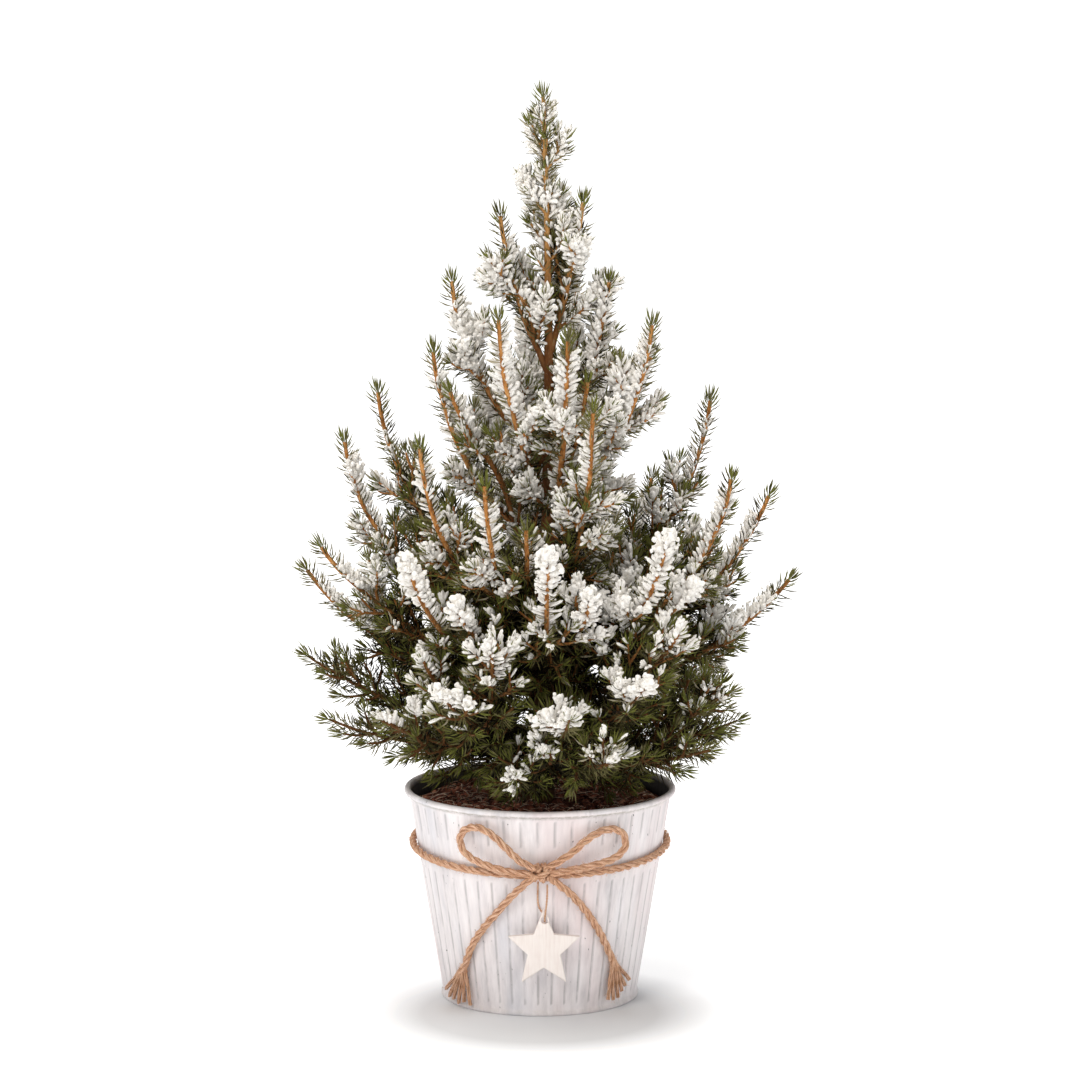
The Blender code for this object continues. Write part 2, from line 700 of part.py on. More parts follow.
def build_leader(space):
    """The needles round the top of the trunk, on a slim sleeve that is clear of it."""
    heights = np.linspace(LEADER_FOOT, TRUNK_TIP, 5)
    axis = [trunk_centre(height) for height in heights]
    axis[-1] += UP * (GAP + LEADER_CAP)
    wide = 1.15 * (trunk_radius(LEADER_FOOT) + GAP + LEADER_WALL)
    leader = Mass("leader_needles", axis[0], UP, wide, LEADER_SIDES)
    radii = (wide, TRUNK_TIP_RADIUS + GAP + LEADER_WALL)
    twist = 180 / LEADER_SIDES + 8
    leader.grow(leader.root, axis, radii, LEADER_BARE, LEADER_SPACING, twist, LEADER_TUFT - GAP - LEADER_CAP)
    leader.draw_needles(space)
    made = made_from(leader.skin, leader.name, needles())
    low, high = LEADER_FOOT - 2 * MM, TRUNK_TIP + GAP
    bore = [1.05 * (trunk_radius(height) + GAP) for height in (low, high)]
    drilled(made, (trunk_centre(low), trunk_centre(TRUNK_TIP) + UP * GAP), bore, 8, "MANIFOLD")


def build_plant():
    """Boughs and masses. The limbs take their space first, then the side shoots, then the needles."""
    space, rng = Space(), random.Random(SEED)
    heights = np.linspace(SOIL_TOP, TRUNK_TIP, 61)
    for low, high in zip(heights, heights[1:]):
        owner = "trunk/" if high < LEADER_FOOT else "leader_needles/0/"
        space.take(owner, tube_cover((trunk_centre(low), trunk_centre(high)), trunk_radius(low)))
    for name in ON_BOUGHS:
        line = along_curve(limb_curve(name), 0.0, BARE_SHARE, BOUGH_STEPS)
        space.take(name + "_bough/", tube_cover(line, BOUGH_RADIUS))
        tube(name + "_bough", line, tapering(line, BOUGH_RADIUS, STEM_RADIUS), BOUGH_SIDES, bark())
    masses = {name: grow_stem(name, space) for name in LIMBS}
    for name, mass in masses.items():
        if LIMBS[name][3] is not None:
            grow_fork(mass, name, space)
    for mass in masses.values():
        grow_side_shoots(mass, space, rng)
    build_leader(space)
    for mass in masses.values():
        mass.draw_needles(space)
        made_from(mass.skin, mass.name, needles())


# ---- twine, star and thread ----

def on_wall(across, height, standoff):
    """A point in front of the pot's wall, from mm across, mm up and mm off the wall."""
    radius = wall_radius(height * MM) + standoff * MM
    return Vector((across * MM, -math.sqrt(radius**2 - (across * MM) ** 2), height * MM))


def outside_knot(line, radius):
    """The line without the points that would put its tube into the knot."""
    centre = on_wall(*KNOT_CENTRE)
    half = KNOT_HALF + Vector((1, 1, 1)) * (radius + GAP + KNOT_AIR)
    return [p for p in line if sum(((p[k] - centre[k]) / half[k]) ** 2 for k in range(3)) > 1]


def build_band():
    """The twine round the pot, from one side of the knot to the other."""
    line = []
    for turn in np.linspace(-math.pi / 2, 1.5 * math.pi, 4 * BAND_STEPS + 1):
        height = BAND_HEIGHT + BAND_DIP * math.sin(turn)
        radius = wall_radius(height) + TWINE_RADIUS + GAP
        line.append(Vector((radius * math.cos(turn), radius * math.sin(turn), height)))
    line = even_line(outside_knot(line, TWINE_RADIUS), math.tau * wall_radius(BAND_HEIGHT) / BAND_STEPS)
    cord("twine_band", line, TWINE_RADIUS, jute())


def build_bow():
    """The knot, with two loops and two tails that start just outside it."""
    routes = {"bow_loop_left": LOOP_LEFT, "bow_loop_right": LOOP_RIGHT, "bow_tail_left": TAIL_LEFT,
              "bow_tail_right": TAIL_RIGHT}
    for name, route in routes.items():
        fine = outside_knot(smooth_line([on_wall(*p) for p in route], 0.5 * MM), TWINE_RADIUS)
        cord(name, even_line(fine, TWINE_STEP), TWINE_RADIUS, jute())
    bpy.ops.mesh.primitive_ico_sphere_add(subdivisions=2, radius=1)
    knot = bpy.context.object
    knot.name = "bow_knot"
    knot.data.transform(Matrix.Translation(on_wall(*KNOT_CENTRE)) @ Matrix.Diagonal((*KNOT_HALF, 1)))
    knot.data.materials.append(jute())
    knot.data.shade_smooth()


def build_fringe(name, tail, ends):
    """The loosened strands below a tail, fused where they leave it."""
    low = [on_wall(*p) for p in tail[-2:]]
    way = (low[1] - low[0]).normalized()
    root = low[1] + way * 2 * GAP
    crown = (root, root + way * FRINGE_CROWN)
    pieces = [tube(name, crown, (0.95 * TWINE_RADIUS, 0.9 * TWINE_RADIUS), 6, jute())]
    for k, place in enumerate(ends):
        start, end = root + way * 0.6 * FRINGE_CROWN, on_wall(*place)
        start = start + Vector(((end - start).x * 0.12, 0, 0))
        radii = (0.8 * FRINGE_RADIUS, FRINGE_RADIUS)
        pieces.append(tube(f"{name}_{k}", (start, end), radii, 4, jute()))
    fused(pieces)


def star_back():
    """The height of the star's back along Y: it hangs level, clear of the wall at its top tip."""
    return -(wall_radius(STAR_CENTRE[1] + STAR_OUTER.y) + STAR_STANDOFF)


def star_ring(depth, inset):
    """The star's ten corners at a depth in front of its back."""
    ring = []
    for k in range(10):
        turn = math.radians(90 + 36 * k)
        size = STAR_OUTER * (STAR_INNER_SHARE if k % 2 else 1)
        spoke = Vector((size.x * math.cos(turn), 0, size.y * math.sin(turn)))
        spoke *= 1 - inset / spoke.length
        ring.append(Vector((STAR_CENTRE[0], star_back() - depth, STAR_CENTRE[1])) + spoke)
    return ring


def build_star():
    """The star, bevelled all round and drilled for its thread."""
    front = STAR_THICKNESS - STAR_BEVEL
    rings = ((0, STAR_BEVEL), (STAR_BEVEL, 0), (front, 0), (STAR_THICKNESS, STAR_BEVEL))
    star = extruded("star", [star_ring(depth, inset) for depth, inset in rings], white_wood())
    hole = Vector((STAR_HOLE[0], star_back(), STAR_HOLE[1]))
    line = (hole + Vector((0, STAR_THICKNESS, 0)), hole - Vector((0, 2 * STAR_THICKNESS, 0)))
    drilled(star, line, (STAR_HOLE_RADIUS, STAR_HOLE_RADIUS), 8, "EXACT")


def build_thread():
    """The thread that the star hangs on: down in front, through its hole, and up behind it."""
    x, z = STAR_HOLE
    middle, bow = star_back() - STAR_THICKNESS / 2, STAR_THICKNESS / 2 + THREAD_RADIUS + THREAD_SLACK
    under = []
    for turn in range(0, 181, 36):
        t = math.radians(turn)
        under.append(Vector((x, middle - bow * math.cos(t), z + 1.7 * MM - bow * math.sin(t))))
    top, back_top = on_wall(3.6, 75.5, 7.0), on_wall(-1.0, 75.5, 3.2)
    front = [top, top.lerp(under[0], 0.5) + Vector((0.5, -0.4, 0)) * MM, under[0]]
    behind = [under[-1], under[-1] + Vector((-3.3, -0.2, 5.9)) * MM, back_top]
    front = even_line(outside_knot(smooth_line(front, 0.3 * MM), THREAD_RADIUS), THREAD_STEP)
    behind = even_line(outside_knot(smooth_line(behind, 0.3 * MM), THREAD_RADIUS), THREAD_STEP)
    cord("star_thread", [*front[:-1], *under, *behind[1:]], THREAD_RADIUS, jute())


def main():
    for old in list(bpy.data.objects):
        bpy.data.objects.remove(old)
    build_pot()
    build_soil()
    build_trunk()
    build_plant()
    build_band()
    build_bow()
    build_fringe("bow_fringe_left", TAIL_LEFT, FRINGE_LEFT)
    build_fringe("bow_fringe_right", TAIL_RIGHT, FRINGE_RIGHT)
    build_star()
    build_thread()


main()
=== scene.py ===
"""The finish of a potted dwarf Alberta spruce under snow: every surface, cord, twig, needle and lump of snow.

Metres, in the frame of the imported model. The pot stands on the origin, and -Y is the side with the bow.
"""

import math
import random

import bmesh
import bpy
import numpy as np
from mathutils import Matrix, Vector, noise


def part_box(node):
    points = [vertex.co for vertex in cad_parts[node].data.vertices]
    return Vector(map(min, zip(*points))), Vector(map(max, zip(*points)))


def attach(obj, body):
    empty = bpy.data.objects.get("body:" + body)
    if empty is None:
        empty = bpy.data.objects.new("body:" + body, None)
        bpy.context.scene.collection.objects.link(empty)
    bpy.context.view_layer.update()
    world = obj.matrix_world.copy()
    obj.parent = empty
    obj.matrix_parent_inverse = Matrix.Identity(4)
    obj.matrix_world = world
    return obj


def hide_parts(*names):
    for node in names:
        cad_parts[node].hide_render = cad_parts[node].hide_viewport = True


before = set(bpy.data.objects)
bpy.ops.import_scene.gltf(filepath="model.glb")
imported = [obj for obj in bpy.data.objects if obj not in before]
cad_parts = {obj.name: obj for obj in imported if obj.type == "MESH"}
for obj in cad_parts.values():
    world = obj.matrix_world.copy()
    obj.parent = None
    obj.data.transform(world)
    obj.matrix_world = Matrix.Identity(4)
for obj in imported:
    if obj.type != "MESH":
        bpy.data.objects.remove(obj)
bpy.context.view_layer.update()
BODY = "root"
MM = 0.001
UP = Vector((0, 0, 1))
GOLDEN_ANGLE = math.radians(137.508)
SEED = 11

# ---- sizes that the frame gives ----
POT_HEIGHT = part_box("pot")[1].z
TRUNK_FOOT, TRUNK_TIP = (corner.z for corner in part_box("trunk"))
STAR_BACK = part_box("star")[1].y  # the star hangs level, clear of the wall at its top tip

# ---- view and stage ----
VIEW_LENS, VIEW_SENSOR = 144.2, 36.0  # in mm
VIEW_PLACE = (0, -2.198, 0.5533)
VIEW_DOWN = 8.163  # degrees below level
FLOOR_RADIUS = 60
FLOOR_COLOUR = (0.79, 0.805, 0.825)
# The floor glows a little outside the pot: over this stretch from a middle before the pot, up to this much.
# The glow is painted light, and the dimmer disc it leaves round the pot is a painted shadow.
PAINTED_SHADOW_SHIFT = (0, 0.042, 0)
FLOOR_GLOWS_AND_PAINTED_SHADOW = ((0.060, 0.098, 0.50), (0.3, 1.2, 0.35))
ROOM_COLOUR, ROOM_POWER = (1.0, 0.985, 0.965), 0.44
# Each lamp's place, aim, size across, power and tint.
LAMPS = {
    "top": ((-0.2, -0.1, 2.3), (0, 0, 0.2), 1.8, 34.0, (1.0, 0.965, 0.925)),
    "key": ((-1.3, -2.3, 1.9), (0, 0, 0.26), 1.2, 29.0, (1.0, 0.95, 0.89)),
    "fill": ((2.0, -1.6, 1.2), (0, 0, 0.22), 1.6, 6.0, (1.0, 0.955, 0.91)),
}

# ---- sizes and rules of the solids, written again ----
GAP = 0.3 * MM
BASE_RADIUS = 51.2 * MM
WALL_FOOT = (50.5 * MM, 3.2 * MM)  # radius and height
WALL_TOP = (67.7 * MM, 106.6 * MM)
RIM_BEAD = 1.7 * MM
SHEET = 0.9 * MM
SOIL_TOP = 102.0 * MM
SOIL_EDGE_DROP = 1.8 * MM
TRUNK_FOOT_RADIUS = 5.9 * MM
TRUNK_TIP_RADIUS = 0.9 * MM
TRUNK_TAPER = 1.25
ROOT_FLARE = 3.0 * MM
ROOT_FLARE_HEIGHT = 6.0 * MM
TRUNK_LEAN = 3.8 * MM
TRUNK_TIP_SHIFT = 1.5 * MM

# Azimuth in degrees from +X, reach and height of the tip in mm, and how many mm its fork ends above or
# below that tip (None where the limb has no fork).
LIMBS = {
    "low_left": (183, 126, 181, None),
    "low_left_under": (197, 119, 152, None),
    "low_left_front": (224, 116, 160, 34),
    "low_front_left": (246, 125, 178, 26),
    "low_front_hanging": (262, 101, 133, 13),
    "low_front": (277, 124, 168, -26),
    "low_front_right": (295, 128, 183, 27),
    "low_right_front": (323, 114, 142, 34),
    "low_right": (352, 109, 148, None),
    "low_back_right": (35, 119, 160, 25),
    "low_back": (83, 121, 166, 24),
    "low_back_left": (130, 120, 158, 26),
    "mid_left": (178, 126, 225, 17),
    "mid_left_spire": (168, 108, 291, None),
    "mid_left_back": (153, 99, 315, None),
    "mid_front_left": (236, 121, 241, -20),
    "mid_front_left_spire": (230, 97, 299, None),
    "mid_front_spire": (254, 104, 283, -22),
    "mid_front": (272, 116, 246, -20),
    "mid_front_right_spire": (288, 88, 318, None),
    "mid_front_right": (303, 119, 253, -26),
    "mid_right": (359, 134, 221, -14),
    "mid_right_spire": (11, 126, 262, None),
    "mid_right_front": (339, 108, 279, -18),
    "mid_right_back": (24, 101, 311, None),
    "mid_back_right": (58, 118, 262, 26),
    "mid_back": (92, 114, 274, 27),
    "mid_back_left": (125, 118, 258, 22),
    "top_front_spire": (248, 59, 362, None),
    "top_front": (283, 64, 352, -21),
    "top_left_front": (201, 61, 343, -19),
    "top_left": (177, 48, 377, None),
    "top_right_front": (336, 65, 357, -17),
    "top_right": (3, 37, 377, -30),
    "top_back": (98, 58, 358, -24),
    "top_back_right": (62, 74, 338, 34),
    "crown_left": (184, 22, 411, -24),
    "crown_right": (356, 23, 418, -16),
}
ON_BOUGHS = (
    "low_left",
    "low_left_under",
    "low_front_left",
    "low_front",
    "low_front_right",
    "low_right_front",
    "low_right",
    "low_back_right",
)
TIP_HEIGHTS = (139, 181, 320, 350, 425)
ROOT_HEIGHTS = (122, 139, 197, 240, 345)
BARE_SHARE = 0.30  # of a bough's limb that carries no needles
BEND, BEND_SHARE, STEEPEST = 38.0, 0.85, 84.0
LIMB_HANDLE = 0.36  # of the chord, for each of the curve's handles
BOUGH_RADIUS = 2.3 * MM
STEM_RADIUS = 1.5 * MM
FORK_AT, FORK_ANGLE, FORK_TURN, FORK_REACH = 0.2, 38.0, 12.0, 0.94
SIDE_SHOOT_LENGTH = 36 * MM
SIDE_SHOOT_LIFT = 0.35
SOLID_NEEDLE = 12.5 * MM
LAST_NEEDLES = 0.55 * SOLID_NEEDLE  # from the end of a limb's line to its tip

# ---- shoots, needles and snow, finer than the solids ----
SIDE_SHOOT_ANGLE = 40.0
LIMB_STEPS, FORK_STEPS, SIDE_STEP = 60, 30, 2 * MM
NEEDLE_LENGTH = 9.4 * MM
NEEDLE_WIDTH = 0.88 * MM
NEEDLE_SPACING = (0.36 * MM, 0.50 * MM, 0.66 * MM)  # along a leader, a side shoot and a twig
NEEDLE_WAIST = 0.5  # share of the length at which a needle is widest
NEEDLE_ANGLE = 56.0  # off the shoot
TUFT_ANGLE = 24.0  # and off its tip
TUFT_LENGTH = 9.0 * MM
TUFT_NEEDLES, TUFT_SPREAD = 9, (4, 30)  # more needles at a shoot's end, and their angles
SIDE_SPACING = 6.0 * MM
TWIG_SPACING = 6.5 * MM
TWIG_LENGTH = 13.0 * MM
LEADER_RADIUS = 1.75 * MM
LEADER_TIP_RADIUS = 1.1 * MM
LOW_TIP_RADIUS = 0.6 * MM
SIDE_SHOOT_RADIUS = 0.95 * MM
SHOOT_TIP_RADIUS = 0.5 * MM
STEM_BARE = 0.12  # share of a stem with neither needles nor side shoots
LEADER_FOOT = 385 * MM  # the trunk carries needles above this
LEADER_SPACING = 6.0 * MM
LEADER_BURIED = 50 * MM  # of its line, below its first needle
# Half width of the crown, in mm, at these heights.
CROWN_HEIGHTS = (110, 150, 200, 240, 262, 300, 340, 380, 420, 472)
CROWN_REACH = (84, 116, 126, 130, 126, 104, 76, 48, 27, 12)
WAVE, WAVE_SCALE = 1.1 * MM, 38  # how far a shoot strays, and how often in a metre
WAVE_SHIFTS = (0.0, 31.4, 72.7)  # where in the noise its three coordinates come from
SIDE_SHOOTS_END = 0.64  # share of a leader where its last side shoot leaves
LOW_SIDE_SHOOTS_END = 0.84
THICKET_CELL = 5.0 * MM
DEEP = 42.0  # needles on the way out that leave a needle wholly hidden
FREE_TIP = 17 * MM  # of a leader, without snow
CAP = 17 * MM  # round the end of a leader that points forward, under thick snow
CAPPED = (
    "low_front", "low_front_left", "low_front_hanging", "low_front_right", "low_left_front", "mid_front",
    "mid_front_left", "mid_front_right", "low_back", "low_back_right", "mid_back",
)
CAP_THICKNESS = (0.42, 0.48)  # low down, and higher up
FREE_SIDE_TIP = 5 * MM  # of a side shoot, without snow
FRESH_TIP = 5 * MM  # of a shoot, with brighter green needles
SEEN_BARK = (0.62, 0.40)  # how far a needle of a limb, or of the trunk, stands out before it hides the bark
SEEN_BARK_TIP = 7 * MM  # of a shoot, with all its needles
SEEN_BARK_SHARE = 0.36  # of such needles that stay
SNOW_LEVEL = 0.21  # raises or lowers all the snow
SNOW_HIDES = 0.42  # the snow under which the needle itself isn't seen
SEEN_DEPTHS = (0.7, 0.3)  # how deep every needle is made, low down and in the top; deeper, half of them are
# Deeper in the crown the needles are darker, as painted shade.
DEPTHS = (0.09, 0.22, 0.38)  # where the needles turn darker
FROST = 0.10  # of the snow's level, in which a needle may be frosted
FROST_WIDTH = 1.35
SNOW_THIN = 1.0 * MM
SNOW_THICK = 1.6 * MM
SNOW_SHARES = (0.4, 0.8)  # of a needle's length, where its snow sits
SNOW_LIFT = 0.6 * MM
SNOW_CELL = 0.9 * MM
HEAVY_SNOW = 0.36  # where the coats run together
COAT_THIN = 0.80 * MM
COAT_THICK = 1.45 * MM
COAT_SHARES = (0.60, 0.94)  # of a needle's length under its coat
COAT_LIFT = 0.4 * MM
SNOW_SMOOTH = 0.15
SNOW_ON = {"low": 0.62, "mid": 0.98, "top": 1.24, "crown": 1.24, "leader": 1.10}
LESS_SNOW = {
    "low_left": 0.3, "low_left_under": 0.4, "low_back_left": 0.2, "low_right": 0.2, "mid_left_back": 0.2,
    "mid_left": 0.15,
}
TONE_FROSTED, TONE_FRESH = 4, 5
# The first four are one needle colour, lit and in painted shade, darker the deeper a needle lies.
NEEDLE_TONES = (  # the first four from the outside inwards
    ("needle_grey_green", (0.150, 0.135, 0.056)),
    ("needle_green", (0.056, 0.050, 0.016)),
    ("needle_dark", (0.022, 0.018, 0.006)),
    ("needle_inner", (0.006, 0.004, 0.002)),
    ("needle_frosted", (0.38, 0.34, 0.24)),
    ("needle_fresh", (0.150, 0.158, 0.034)),
)

# ---- twine, knot and star, as in the solids ----
TWINE_RADIUS = 2.0 * MM
BAND_HEIGHT = 81.0 * MM
BAND_DIP = 4.5 * MM
KNOT_CENTRE = (0.6, 78.6, 5.0)  # across, height and standoff from the wall, in mm
KNOT_HALF = Vector((6.6, 4.3, 6.0)) * MM
# Each turn of the knot: across, degrees of lean, half its height and half its depth.
KNOT_TURNS = ((-2.6, 20, 3.5, 4.6), (1.5, 6, 3.7, 5.2), (4.2, -24, 3.1, 4.2))
KNOT_OVER = ((-6.2, 1.2, -2.4), (-3.6, -2.6, -1.8), (0.2, -3.9, -0.6), (3.4, -2.8, 1.2), (6.0, 0.6, 2.2))
THREAD_RADIUS = 0.5 * MM
THREAD_SLACK = 0.35 * MM
# Routes run over the pot's wall: across, height and standoff from the wall, in mm.
LOOP_LEFT = (
    (-2, 81, 7.0), (-10.6, 85.4, 6.4), (-18.9, 93.2, 5.2), (-25.4, 98.6, 4.4), (-32.3, 100.9, 3.8),
    (-38.2, 98.6, 3.8), (-40.4, 92.6, 5.0), (-36.6, 86.2, 6.9), (-27.2, 82.0, 7.4), (-14.8, 79.2, 7.4),
    (-3, 78.0, 7.2),
)
LOOP_RIGHT = (
    (3, 81, 7.0), (14.6, 88.0, 6.2), (23.1, 95.0, 5.2), (31.4, 99.2, 4.2), (38.6, 98.8, 3.8),
    (42.9, 94.2, 4.6), (42.2, 88.0, 6.2), (35.6, 83.8, 7.3), (22.1, 81.2, 7.4), (10.5, 79.4, 7.4),
    (3, 78.4, 7.2),
)
TAIL_LEFT = (
    (-2, 78, 6.6), (-8.6, 72.0, 6.4), (-15.8, 63.9, 4.4), (-23.1, 54.3, 3.2), (-29.4, 45.7, 2.7),
    (-34.7, 36.0, 2.7), (-37.9, 26.3, 2.8), (-40.2, 20.0, 3.0),
)
TAIL_RIGHT = (
    (3, 78, 6.6), (8.9, 73.0, 6.4), (16.0, 66.2, 4.6), (23.3, 56.5, 3.2), (29.6, 45.7, 2.7),
    (33.8, 36.1, 2.7), (37.1, 27.6, 2.8), (39.4, 22.4, 3.0),
)
# Where the loosened strands of a tail end.
FRINGE_LEFT = (
    (-48.4, 7.4, 3.0), (-46.6, 4.2, 3.4), (-44.4, 3.0, 2.4), (-41.8, 2.6, 3.2), (-39.0, 2.6, 2.4),
    (-35.6, 3.0, 2.8),
)
FRINGE_RIGHT = (
    (34.9, 6.2, 2.8), (37.4, 5.4, 3.4), (39.8, 5.6, 2.4), (41.8, 8.2, 3.2), (43.6, 11.4, 2.4),
    (45.8, 13.4, 2.8),
)
STAR_CENTRE = (2.0 * MM, 38.5 * MM)  # across and height
STAR_OUTER = Vector((19.3, 21.2)) * MM
STAR_INNER_SHARE = 0.45
STAR_THICKNESS = 3.0 * MM
STAR_HOLE = (2.4 * MM, 53.4 * MM)
STAR_HOLE_RADIUS = 1.5 * MM

# ---- the strands of the twine ----
STRANDS = 3
STRAND_RADIUS = 0.93 * MM
STRAND_OFFSET = 1.07 * MM  # from the middle of the twine
PITCH = 18.0 * MM
FUZZ_LENGTH = 2.2 * MM

# ---- the grooves in the pot ----
GROOVES = 48
GROOVE_TURN = math.radians(-1.0)
GROOVE_WIDTH = 1.5 * MM
GROOVE_DEPTH = 0.45 * MM
GROOVE_END = 1.2 * MM  # over which a groove runs out
LOWER_FIELD = (5.5 * MM, 71.5 * MM)
UPPER_FIELD = (90.0 * MM, 105.0 * MM)


# ---- node trees ----

class Tree:
    """A node tree that is written one node at a time."""

    def __init__(self, tree):
        self.tree = tree

    def node(self, kind, values=None, **settings):
        """A new node with its settings and the values of its sockets, each by name or by number."""
        made = self.tree.nodes.new(kind)
        for key, value in settings.items():
            setattr(made, key, value)
        for key, value in (values or {}).items():
            socket = made.inputs[key]
            if isinstance(value, bpy.types.NodeSocket):
                self.tree.links.new(value, socket)
            else:
                socket.default_value = value
        return made

    def first(self, kind, values=None, **settings):
        """The first output of a new node."""
        return self.node(kind, values, **settings).outputs[0]

    def math(self, operation, a, b=0.0):
        """A number from one or two others."""
        return self.first("ShaderNodeMath", {0: a, 1: b}, operation=operation)

    def vector(self, operation, a, b=(0, 0, 0), scale=1.0):
        """A vector operation; lengths and dot products come as numbers."""
        values = {0: a, 3: scale} if operation == "SCALE" else {0: a, 1: b}
        made = self.node("ShaderNodeVectorMath", values, operation=operation)
        return made.outputs["Value" if operation in ("LENGTH", "DOT_PRODUCT", "DISTANCE") else "Vector"]

    def remap(self, value, low, high, to_low=0.0, to_high=1.0):
        """A number moved from one range to another, and kept inside it."""
        return self.first("ShaderNodeMapRange", {"Value": value, 1: low, 2: high, 3: to_low, 4: to_high})

    def combined(self, x=0.0, y=0.0, z=0.0):
        """A vector from three numbers."""
        return self.first("ShaderNodeCombineXYZ", {0: x, 1: y, 2: z})

    def parts(self, vector):
        """The three numbers of a vector."""
        return self.node("ShaderNodeSeparateXYZ", {0: vector}).outputs


class Growth(Tree):
    """A Geometry Nodes tree with one geometry in, one out, and a named input for each size."""

    def __init__(self, name, **sizes):
        super().__init__(bpy.data.node_groups.new(name, "GeometryNodeTree"))
        kinds = {int: "NodeSocketInt", float: "NodeSocketFloat", bpy.types.Material: "NodeSocketMaterial"}
        self.sockets = {}
        self.tree.interface.new_socket("Geometry", in_out="INPUT", socket_type="NodeSocketGeometry")
        self.tree.interface.new_socket("Geometry", in_out="OUTPUT", socket_type="NodeSocketGeometry")
        for label, value in sizes.items():
            kind = kinds[type(value)]
            made = self.tree.interface.new_socket(label, in_out="INPUT", socket_type=kind)
            self.sockets[label] = (made.identifier, value)
        self.entry = self.tree.nodes.new("NodeGroupInput")
        self.exit = self.tree.nodes.new("NodeGroupOutput")

    def size(self, label):
        """The input of that name."""
        return self.entry.outputs[label]

    def named(self, label, kind="FLOAT"):
        """A named attribute."""
        return self.first("GeometryNodeInputNamedAttribute", {"Name": label}, data_type=kind)

    def stored(self, geometry, label, value, kind="FLOAT"):
        """The geometry with a named attribute on its points."""
        made = self.node("GeometryNodeStoreNamedAttribute", {"Geometry": geometry, "Name": label},
                         data_type=kind, domain="POINT")
        self.tree.links.new(value, made.inputs["Value"])
        return made.outputs[0]

    def random(self, low, high, seed, kind="FLOAT"):
        """A random number or vector for each point or copy."""
        made = self.node("FunctionNodeRandomValue", {"Seed": seed}, data_type=kind)
        live = [socket for socket in made.inputs if socket.enabled and socket.name in ("Min", "Max")]
        live[0].default_value, live[1].default_value = low, high
        return next(socket for socket in made.outputs if socket.enabled)

    def ring(self, sides, radius):
        """A round profile."""
        return self.first("GeometryNodeCurvePrimitiveCircle", {"Resolution": sides, "Radius": radius})

    def arc(self, steps, start, middle, end):
        """A bent line."""
        values = {"Resolution": steps, "Start": start, "Middle": middle, "End": end}
        return self.first("GeometryNodeCurveQuadraticBezier", values)

    def tube(self, line, profile, **values):
        """A profile drawn along a line, with closed ends."""
        values = {"Curve": line, "Profile Curve": profile, "Fill Caps": True, **values}
        return self.first("GeometryNodeCurveToMesh", values)

    def moved(self, geometry, **values):
        """The geometry with its points at a new Position or moved by an Offset."""
        return self.first("GeometryNodeSetPosition", {"Geometry": geometry, **values})

    def turned(self, up, aside):
        """The turn that brings Z to one direction and X near to another."""
        return self.first("FunctionNodeAxesToRotation", {"Primary Axis": up, "Secondary Axis": aside},
                          primary_axis="Z", secondary_axis="X")

    def stood(self, points, piece, turn, scale, **values):
        """Copies of a piece on points."""
        values = {"Points": points, "Instance": piece, "Rotation": turn, "Scale": scale, **values}
        return self.first("GeometryNodeInstanceOnPoints", values)

    def needle_turn(self):
        """The turn of what stands along each point's needle."""
        return self.turned(self.named("way", "FLOAT_VECTOR"), self.named("along", "FLOAT_VECTOR"))

    def needle_size(self, across):
        """The scale of what stands along each point's needle."""
        return self.combined(self.named(across), self.named(across), self.named("long"))

    def joined(self, *parts):
        """Several geometries as one."""
        made = self.node("GeometryNodeJoinGeometry")
        for part in parts:
            self.tree.links.new(part, made.inputs[0])
        return made.outputs[0]

    def realized(self, geometry):
        """The geometry without instances."""
        return self.first("GeometryNodeRealizeInstances", {0: geometry})

    def painted(self, geometry, material):
        """The geometry in a material."""
        return self.first("GeometryNodeSetMaterial", {"Geometry": geometry, "Material": material})

    def ended(self, geometry):
        """The tree, whose result is this geometry."""
        self.tree.links.new(geometry, self.exit.inputs[0])
        return self

    def finished(self, geometry):
        """The tree, whose result is this geometry as one mesh, shaded smooth and in its finish."""
        smooth = self.first("GeometryNodeSetShadeSmooth", {"Geometry": self.realized(geometry)})
        return self.ended(self.painted(smooth, self.size("Finish")))

    def grown(self, source, name, **sizes):
        """The plain mesh that this tree makes of an object, which it replaces."""
        modifier = source.modifiers.new("grow", "NODES")
        modifier.node_group = self.tree
        for label, (identifier, value) in self.sockets.items():
            modifier[identifier] = sizes.get(label, value)
        source.update_tag()
        mesh = made_plain(source)
        mesh.name = name
        return linked(name, mesh)


